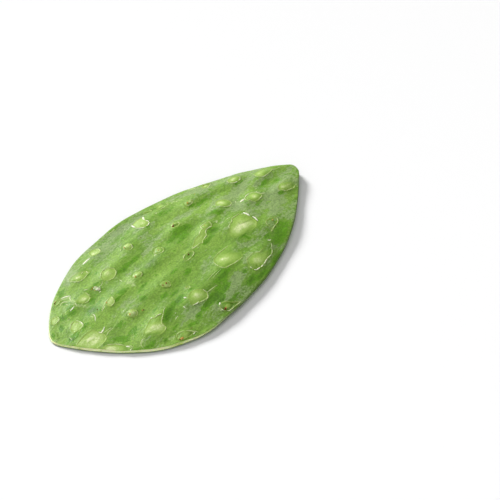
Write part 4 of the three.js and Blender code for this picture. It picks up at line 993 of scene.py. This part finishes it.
def lower_paint(x, y):
    """The underside has the same wear and painted shade, turned over, and painted shade round its
    own marks.
    """
    return {
        "flesh": mark_mask(LOWER_MARKS, x, y, RIM_REACH, pale_flesh),
        "rim": mark_mask(LOWER_MARKS, x, y, RIM_REACH, drying_rim),
        "rubbed_and_shade": patch_mask(RUBBED_AND_SHADED, x, -y),
        "shade_and_nicks": groove_shade_mask(LOWER_MARKS, x, y),
    }


def margin_paint(x, down):
    """One row of the cut edge: cream in its upper part, turning to olive painted shade towards the
    base, and painted shade below.
    """
    margin_shade = smooth(MARGIN_SHADE_START, MARGIN_SHADE_END, x)
    if down < CREAM_SHARE:
        return {"cut": 1 - MARGIN_SHADE_COVER * margin_shade, "shade_and_nicks": OLIVE_SHADE * margin_shade, "deeper_and_shade": margin_shade}
    return {"shade_and_nicks": np.ones(len(x)), "deeper_and_shade": margin_shade}


def pad_mesh():
    """Vertices, triangles and the paint masks of the whole skin."""
    upper, upper_triangles, upper_source = triangulate(UPPER_LOOP, upper_scatter())
    lower, lower_triangles, lower_source = triangulate(LOWER_LOOP, lower_scatter())
    upper_z = upper_height(*upper.T)
    lower_z = lower_height(*lower.T)
    upper_rank = loop_ranks(upper_source)
    lower_rank = loop_ranks(lower_source)
    top, bottom = upper_z[upper_rank], lower_z[lower_rank]

    parts = [np.c_[upper, upper_z], np.c_[lower, lower_z]]
    paints = [upper_paint(*upper.T), lower_paint(*lower.T)]
    ranks = [upper_rank]
    for out, down in MARGIN_ROWS:
        loop = shifted_loop(UPPER_LOOP, out)
        ranks.append(np.arange(LOOP_POINTS) + sum(len(part) for part in parts))
        parts.append(np.c_[loop, top + down * (bottom - top)])
        paints.append(margin_paint(loop[:, 0], down))
    ranks.append(lower_rank + len(upper))

    faces = [upper_triangles, lower_triangles[:, ::-1] + len(upper)]
    faces += [band(above, beneath) for above, beneath in zip(ranks, ranks[1:])]
    masks = {}
    for name in sum(PAINTS.values(), ()):
        filled = [paint.get(name, np.zeros(len(part))) for paint, part in zip(paints, parts)]
        masks[name] = np.concatenate(filled)
    return np.vstack(parts), np.vstack(faces), masks


# ---- Slivers of skin and stubs of spines ------------------------------------------------------
def spline_run(corners, step):
    """An open Catmull-Rom spline through the corners, in even steps."""
    corners = np.array(corners, float)
    ends = np.vstack([2 * corners[0] - corners[1], corners, 2 * corners[-1] - corners[-2]])
    dense = []
    for p0, p1, p2, p3 in zip(ends, ends[1:], ends[2:], ends[3:]):
        for t in np.linspace(0, 1, RUN_SAMPLES, endpoint=False):
            square = 2 * p0 - 5 * p1 + 4 * p2 - p3
            cubic = 3 * p1 - p0 - 3 * p2 + p3
            dense.append(0.5 * (2 * p1 + (p2 - p0) * t + square * t**2 + cubic * t**3))
    dense = np.array(dense + [corners[-1]])
    length = distances(dense)[-1]
    return at_distances(dense, np.linspace(0, length, max(4, int(length / step) + 1)))


def edge_slivers(rng):
    """The lifted skin along the first corners of each slice, torn into runs of uneven width."""
    found = []
    for cut in SLICES:
        if not cut.lifted:
            continue
        run = spline_run(cut.outline[:cut.lifted], PEEL_STEP)
        start = 0
        while start < len(run) - 3:
            stop = min(len(run), start + int(rng.uniform(*EDGE_RUN)))
            wander = np.cumsum(rng.normal(0, EDGE_WANDER, (stop - start, 2)), axis=0)
            points = run[start:stop] + wander - wander.mean(axis=0)
            width = cut.width * rng.uniform(*EDGE_WIDTHS)
            found.append((width, rng.uniform(*EDGE_HEIGHTS), points[::2]))
            start = stop - 1 + int(rng.uniform(*EDGE_GAP))
    return [row for row in found if len(row[2]) > 1]


def sliver(width, height, corners, rng):
    """Plan places of a sliver's vertices with their heights over the skin, and its faces."""
    run = spline_run(corners, PEEL_STEP)
    count = len(run)
    tangent = np.gradient(run, axis=0)
    side = np.c_[-tangent[:, 1], tangent[:, 0]] / np.hypot(*tangent.T)[:, None]
    taper = np.sin(np.pi * np.linspace(0.02, 0.98, count)) ** 0.5
    uneven_width = taper * rng.uniform(*SLIVER_WIDTHS, count)
    uneven_height = taper * rng.uniform(*SLIVER_HEIGHTS, count)
    run = run + side * (rng.normal(0, SLIVER_WANDER, count))[:, None]
    vertices = []
    for across, up, sunk in SLIVER_SECTION:
        place = run + side * (across * 0.5 * width * uneven_width)[:, None]
        vertices.append(np.c_[place, up * height * uneven_height + sunk])
    rows = len(SLIVER_SECTION)
    faces = []
    for i in range(count - 1):
        for k in range(rows):
            here, beside = k * count + i, (k + 1) % rows * count + i
            faces.append((here, here + 1, beside + 1, beside))
    faces.append([k * count for k in range(rows)])
    faces.append([k * count + count - 1 for k in reversed(range(rows))])
    return np.vstack(vertices), faces


def stub(x, y, size, rng):
    """A short blunt lump of felt and broken spine, written the same way."""
    lean = rng.uniform(0, 2 * math.pi)
    vertices = []
    for share, up in STUB_RINGS:
        for k in range(STUB_SIDES):
            turn = 2 * math.pi * k / STUB_SIDES
            radius = 0.5 * size * share * (1 + STUB_LEAN * math.cos(turn - lean))
            radius *= rng.uniform(*STUB_UNEVEN)
            place = (x + radius * math.cos(turn), y + radius * math.sin(turn))
            vertices.append((*place, up * size * STUB_HEIGHT))
    vertices.append((x + 0.1 * size, y, STUB_TOP * size * STUB_HEIGHT))
    top = len(vertices) - 1
    faces = []
    for k in range(STUB_SIDES):
        beside = (k + 1) % STUB_SIDES
        for low in range(0, top - STUB_SIDES, STUB_SIDES):
            high = low + STUB_SIDES
            faces.append((low + k, low + beside, high + beside, high + k))
        faces.append((top - STUB_SIDES + k, top - STUB_SIDES + beside, top))
    faces.append(list(reversed(range(STUB_SIDES))))
    return np.array(vertices), faces


def joined(parts):
    """One list of vertices, set on the skin, and one of faces from many."""
    faces = []
    start = 0
    for points, polygons in parts:
        faces += [[start + i for i in polygon] for polygon in polygons]
        start += len(points)
    vertices = np.vstack([points for points, _ in parts])
    vertices[:, 2] += upper_height(vertices[:, 0], vertices[:, 1])
    return vertices, faces


# ---- From the plan to the frame ---------------------------------------------------------------
# The part's source moves the middle of the margin's box to the frame's origin.
WIDEST_LOOP = shifted_loop(UPPER_LOOP, 1)
CENTRE = (WIDEST_LOOP.min(axis=0) + WIDEST_LOOP.max(axis=0)) / 2


def to_frame(points):
    return (np.array(points, float) - (*CENTRE, 0)) * MM


def new_object(name, positions, faces, material):
    mesh = bpy.data.meshes.new(name)
    mesh.from_pydata(positions.tolist(), [], faces)
    mesh.shade_smooth()
    mesh.materials.append(material)
    made = bpy.data.objects.new(name, mesh)
    bpy.context.scene.collection.objects.link(made)
    return made


def add_paint(piece, name, *channels):
    """A colour attribute of three channels, or of one that fills all three."""
    columns = channels if len(channels) == 3 else channels * 3
    values = np.column_stack([*columns, np.ones(len(channels[0]))])
    layer = piece.data.color_attributes.new(name, "FLOAT_COLOR", "POINT")
    layer.data.foreach_set("color", values.ravel())


# ---- Materials --------------------------------------------------------------------------------
def srgb(red, green, blue):
    """A colour given as 0 to 255 on screen, as linear light."""
    values = [v / 255 for v in (red, green, blue)]
    linear = [v / 12.92 if v <= 0.04045 else ((v + 0.055) / 1.055) ** 2.4 for v in values]
    return (*linear, 1.0)


class Nodes:
    """Short ways to add nodes to one material."""

    def __init__(self, name):
        self.material = bpy.data.materials.new(name)
        self.material.use_nodes = True
        self.tree = self.material.node_tree
        self.shader = self.tree.nodes["Principled BSDF"]

    @cached_property
    def place(self):
        return self.add("ShaderNodeTexCoord").outputs["Object"]

    def feed(self, node, inputs):
        """Links or sets a node's inputs, which are given by name or by number."""
        for key, value in inputs.items():
            if isinstance(value, bpy.types.NodeSocket):
                self.tree.links.new(value, node.inputs[key])
            else:
                node.inputs[key].default_value = value

    def add(self, kind, inputs=None, **settings):
        node = self.tree.nodes.new(kind)
        for key, value in settings.items():
            setattr(node, key, value)
        self.feed(node, inputs or {})
        return node

    def paint(self, name):
        """The red, green and blue of a colour attribute."""
        layer = self.add("ShaderNodeAttribute", attribute_name=name)
        return self.add("ShaderNodeSeparateColor", {"Color": layer.outputs["Color"]}).outputs

    def noise(self, size, detail, stretch=(1, 1, 1), shift=0.0, roughness=0.55):
        """Noise whose lumps are about size millimetres across."""
        moved = self.add("ShaderNodeMapping", {
            "Vector": self.place, "Scale": stretch, "Location": (shift, shift * 0.7, shift * 1.3),
        })
        noise = self.add("ShaderNodeTexNoise", {
            "Vector": moved.outputs["Vector"], "Scale": 1000 / size, "Detail": detail,
            "Roughness": roughness,
        })
        spread = self.add("ShaderNodeMapRange", {
            "Value": noise.outputs["Fac"], "From Min": 0.3, "From Max": 0.7,
        })
        return spread.outputs["Result"]

    def ramp(self, value, start, end, low=0.0, high=1.0):
        inputs = {"Value": value, "From Min": start, "From Max": end, "To Min": low, "To Max": high}
        node = self.add("ShaderNodeMapRange", inputs, interpolation_type="SMOOTHSTEP")
        return node.outputs["Result"]

    def math(self, operation, a, b):
        return self.add("ShaderNodeMath", {0: a, 1: b}, operation=operation).outputs[0]

    def plus(self, total, value, weight):
        """A total with a value added to it, times its weight."""
        return self.math("ADD", total, self.math("MULTIPLY", value, weight))

    def weighted(self, *terms):
        """A sum of values, each less a half and times its weight."""
        total = 0.0
        for value, weight in terms:
            total = self.plus(total, self.math("SUBTRACT", value, 0.5), weight)
        return total

    def blend(self, factor, a, b, **kind):
        inputs = {"Factor": factor, "A": a, "B": b}
        return self.add("ShaderNodeMix", inputs, **kind).outputs["Result"]

    def mix(self, factor, a, b):
        return self.blend(factor, a, b, data_type="RGBA")

    def mix_value(self, factor, a, b):
        return self.blend(factor, a, b, data_type="FLOAT")

    def covered(self, body, colour, mask, strength):
        """A colour laid over the body where the mask is."""
        return self.mix(self.math("MULTIPLY", mask, strength), body, colour)

    def shaded(self, body, value):
        """The body's colour multiplied by a value."""
        grey = self.add("ShaderNodeCombineColor", {0: value, 1: value, 2: value}).outputs["Color"]
        return self.blend(1.0, body, grey, data_type="RGBA", blend_type="MULTIPLY")

    def bump(self, height, distance):
        inputs = {"Height": height, "Distance": distance * MM, "Strength": 1.0}
        return self.add("ShaderNodeBump", inputs).outputs["Normal"]

    def surface(self, inputs):
        self.feed(self.shader, inputs)
        return self.material


DEEP_GREEN = srgb(78, 126, 16)
VIVID_GREEN = srgb(92, 146, 22)
MID_GREEN = srgb(99, 144, 36)
LIGHT_GREEN = srgb(135, 174, 70)
# The grey of the bloom, also used for a painted sheen.
BLOOM_AND_SHEEN_GREEN = srgb(143, 167, 108)
DRY_BLOOM = srgb(180, 200, 136)
# Painted shade, and also the colour of the dark nicks.
SHADE_AND_NICK_GREEN = srgb(58, 94, 14)
FLESH_EDGE = srgb(132, 170, 66)
FLESH_MID = srgb(160, 194, 92)
# The palest flesh, also the colour of the painted highlights.
FLESH_GLOW_AND_HIGHLIGHT = srgb(226, 238, 176)
CREAM = srgb(192, 204, 112)
MARGIN_CREAM = srgb(236, 242, 190)
MARGIN_GREEN = srgb(190, 212, 120)
SHADE_GREEN = srgb(84, 128, 30)
PEEL_PALE = srgb(240, 242, 214)
PEEL_GREEN = srgb(198, 214, 144)
STUB_STRAW = srgb(214, 196, 124)
STUB_ORANGE = srgb(222, 150, 62)
STUB_RED = srgb(150, 40, 36)
STUB_BROWN = srgb(96, 62, 24)
FLOOR_GREY = (0.9, 0.9, 0.9, 1)


def skin_material():
    n = Nodes("cactus_skin")
    flesh, rim, rubbed_and_shade = n.paint("marks")
    smear, shade_and_nicks, cut = n.paint("dress")
    bloom_and_sheen, fresh, lighter_and_lit = n.paint("cover")
    deeper_and_shade = n.paint("depth")[0]

    clouds = n.noise(24, 4, (0.45, 1, 1), 0.1)
    patches = n.noise(8, 5, (0.5, 1, 1), 0.5, 0.6)
    streaks = n.noise(3.4, 3, (0.14, 1, 1), 0.3)
    shreds = n.noise(2.4, 5, (0.6, 1, 1), 0.9, 0.7)
    specks = n.noise(1.3, 3, (0.7, 1, 1), 1.7, 0.6)
    mottle = n.noise(0.9, 3, (0.8, 1, 1), 0.7)

    # Plain skin, lighter in places with painted light and deeper green with painted shade, and the
    # waxy bloom that lies on it like a thin grey film, with a painted sheen where it is greyest.
    tone = n.weighted((clouds, 0.3), (streaks, 0.25), (patches, 0.3), (shreds, 0.15))
    tone = n.plus(tone, lighter_and_lit, 0.26)
    body = n.mix(n.ramp(tone, -0.28, 0.3), MID_GREEN, LIGHT_GREEN)
    body = n.covered(body, SHADE_GREEN, deeper_and_shade, 0.6)
    film = n.weighted((patches, -0.45), (clouds, -0.3), (shreds, 0.3), (specks, 0.2))
    film = n.plus(n.plus(film, bloom_and_sheen, 0.42), fresh, -0.26)
    body = n.mix(n.ramp(film, -0.02, 0.2, 0.0, 0.8), body, BLOOM_AND_SHEEN_GREEN)

    # Where the film is rubbed away, with painted shade in some valleys, and smears where it has
    # dried.
    wear = n.weighted((patches, 0.7), (shreds, 0.7), (specks, 0.4), (streaks, 0.2))
    wear = n.plus(wear, fresh, 0.2)
    worn_and_shaded = n.ramp(n.plus(wear, rubbed_and_shade, 1.15), 0.46, 0.53)
    worn_and_shade_tone = n.mix(n.ramp(rubbed_and_shade, 0.55, 0.85), VIVID_GREEN, DEEP_GREEN)
    body = n.covered(body, worn_and_shade_tone, worn_and_shaded, 0.9)
    dry = n.math("ADD", smear, n.weighted((shreds, 0.8), (specks, 0.5), (patches, 0.3)))
    dried = n.math("MULTIPLY", n.ramp(dry, 0.35, 0.9), n.ramp(smear, 0.05, 0.4))
    body = n.covered(body, DRY_BLOOM, dried, 0.62)

    # The finest grain, which also darkens whole areas a little with deeper green and painted shade,
    # and lightens others with painted light.
    fine = n.ramp(n.weighted((mottle, 0.7), (specks, 0.5)), -0.45, 0.45, 0.77, 1.22)
    fine = n.math("MULTIPLY", fine, n.ramp(deeper_and_shade, 0, 1, 1, 0.8))
    fine = n.math("MULTIPLY", fine, n.ramp(lighter_and_lit, 0, 1, 1, 1.06))
    body = n.shaded(body, fine)

    # Pale flesh in the slices with painted highlights, painted shade in grooves and by the margin,
    # dark nicks, drying rims and the trimmed margin.
    grain = n.ramp(n.weighted((shreds, 0.6), (mottle, 0.4)), -0.5, 0.5, 0.7, 1.3)
    patchy = n.math("MULTIPLY", flesh, grain)
    flesh_tone = n.mix(n.ramp(patchy, 0.15, 0.5), FLESH_EDGE, FLESH_MID)
    flesh_tone = n.mix(n.ramp(patchy, 0.4, 1.0), flesh_tone, FLESH_GLOW_AND_HIGHLIGHT)
    body = n.mix(n.ramp(patchy, 0.03, 0.32), body, flesh_tone)
    body = n.covered(body, SHADE_AND_NICK_GREEN, shade_and_nicks, 0.6)
    body = n.covered(body, CREAM, rim, 0.7)
    cut_mix = n.ramp(n.weighted((shreds, 0.5), (patches, 0.5)), -0.1, 0.4)
    body = n.mix(cut, body, n.mix(cut_mix, MARGIN_CREAM, MARGIN_GREEN))

    rough = n.mix_value(worn_and_shaded, 0.47, 0.42)
    rough = n.mix_value(n.ramp(patchy, 0.0, 0.3), rough, 0.38)
    relief = n.weighted((shreds, 0.3), (mottle, 0.2), (streaks, 0.2), (patches, 0.3))
    return n.surface({
        "Base Color": body,
        "Roughness": n.mix_value(dried, rough, 0.6),
        "Specular IOR Level": n.mix_value(shade_and_nicks, 0.24, 0.02),
        "Subsurface Weight": n.mix_value(cut, 0.12, 0.6),
        "Subsurface Radius": (0.8, 1.0, 0.4),
        "Subsurface Scale": 0.0012,
        "Normal": n.bump(relief, 0.36),
    })


def peel_material():
    n = Nodes("dried_skin")
    patches = n.noise(2.5, 3, shift=0.2)
    fine = n.noise(0.6, 2, shift=0.4)
    tone = n.math("ADD", n.weighted((patches, 0.5), (fine, 0.3)), n.paint("dryness")[0])
    return n.surface({
        "Base Color": n.mix(n.ramp(tone, 0.0, 0.7), PEEL_GREEN, PEEL_PALE),
        "Roughness": n.ramp(fine, 0.0, 1.0, 0.45, 0.65),
        "Specular IOR Level": 0.35,
        "Subsurface Weight": 0.15,
        "Subsurface Radius": (0.6, 0.8, 0.3),
        "Subsurface Scale": 0.0008,
        "Normal": n.bump(fine, 0.08),
    })


def stub_material():
    n = Nodes("spine_felt")
    fine = n.noise(0.35, 3, shift=0.6)
    tone = n.math("ADD", n.paint("tone")[0], n.weighted((fine, 0.3)))
    body = n.mix(n.ramp(tone, 0.1, 0.5), STUB_STRAW, STUB_ORANGE)
    body = n.mix(n.ramp(tone, 0.5, 0.8), body, STUB_RED)
    return n.surface({
        "Base Color": n.mix(n.ramp(tone, 0.82, 1.0), body, STUB_BROWN),
        "Roughness": n.ramp(fine, 0.0, 1.0, 0.6, 0.85),
        "Specular IOR Level": 0.25,
        "Normal": n.bump(fine, 0.1),
    })


def floor_material():
    n = Nodes("pale_floor")
    return n.surface({"Base Color": FLOOR_GREY, "Roughness": 0.7, "Specular IOR Level": 0.2})


# ---- Pieces -----------------------------------------------------------------------------------
def make_pad():
    positions, faces, masks = pad_mesh()
    pad = new_object("pad_skin", to_frame(positions), faces.tolist(), skin_material())
    for name, channels in PAINTS.items():
        add_paint(pad, name, *(masks[channel] for channel in channels))
    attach(pad, "root")
    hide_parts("pad")


def set_on_skin(name, parts, material, paint, tones):
    """Many small solids as one piece, each painted in its own tone."""
    vertices, faces = joined(parts)
    piece = new_object(name, to_frame(vertices), faces, material)
    add_paint(piece, paint, np.repeat(tones, [len(points) for points, _ in parts]))
    return piece


def make_peels():
    rng = np.random.default_rng(SEED + 2)
    rows = [(width, PEEL_LIFT * height, run) for width, height, run in PEELS]
    rows += edge_slivers(rng)
    parts = [sliver(*row, rng) for row in rows]
    widths = np.array([row[0] for row in rows])
    dryness = np.clip((widths - DRY_WIDTH_START) / DRY_WIDTH_RANGE, 0, 1)
    peels = set_on_skin("peeled_skin", parts, peel_material(), "dryness", dryness)
    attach(peels, "root")


def make_stubs():
    rng = np.random.default_rng(SEED + 3)
    parts = [stub(x, y, size, rng) for x, y, size, _ in STUBS]
    tones = [row[3] for row in STUBS]
    stubs = set_on_skin("spine_stubs", parts, stub_material(), "tone", tones)
    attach(stubs, "root")


def make_floor():
    corners = FLOOR_HALF * np.array([(-1, -1, 0), (1, -1, 0), (1, 1, 0), (-1, 1, 0)], float)
    floor = new_object("floor", corners, [(0, 1, 2, 3)], floor_material())


def aim(made, direction):
    """Puts a light or the camera in the scene, turned to look in a direction."""
    made.rotation_mode = "QUATERNION"
    made.rotation_quaternion = Vector(direction).to_track_quat("-Z", "Y")
    bpy.context.scene.collection.objects.link(made)


def make_sun(name, power, width, direction):
    data = bpy.data.lights.new(name, "SUN")
    data.energy = power
    data.angle = width
    aim(bpy.data.objects.new(name, data), direction)


def make_overhead():
    data = bpy.data.lights.new("overhead", "AREA")
    data.shape = "DISK"
    data.size = OVERHEAD_SIZE
    data.energy = OVERHEAD_POWER
    lamp = bpy.data.objects.new("overhead", data)
    lamp.location = OVERHEAD_PLACE
    aim(lamp, -Vector(OVERHEAD_PLACE))


def make_world():
    world = bpy.data.worlds.new("studio")
    world.use_nodes = True
    background = world.node_tree.nodes["Background"]
    background.inputs["Color"].default_value = (1, 1, 1, 1)
    background.inputs["Strength"].default_value = WORLD_STRENGTH
    bpy.context.scene.world = world


def make_camera():
    ahead = Vector((
        math.sin(CAMERA_TURN) * math.cos(CAMERA_ELEVATION),
        math.cos(CAMERA_TURN) * math.cos(CAMERA_ELEVATION),
        -math.sin(CAMERA_ELEVATION),
    ))
    data = bpy.data.cameras.new("camera")
    data.lens = CAMERA_LENS
    data.sensor_width = CAMERA_SENSOR
    data.clip_start = CAMERA_CLIP
    camera = bpy.data.objects.new("camera", data)
    camera.location = Vector(to_frame([CAMERA_TARGET])[0]) - ahead * CAMERA_DISTANCE
    aim(camera, ahead)
    bpy.context.scene.camera = camera


make_pad()
make_peels()
make_stubs()
make_floor()
make_world()
# A large soft light low behind the pad, and a weak broad one that opens up the cut edge.
make_sun("key", KEY_POWER, KEY_WIDTH, KEY_DIRECTION)
make_sun("fill", FILL_POWER, FILL_WIDTH, FILL_DIRECTION)
make_overhead()
make_camera()
bpy.context.scene.view_settings.view_transform = "Standard"
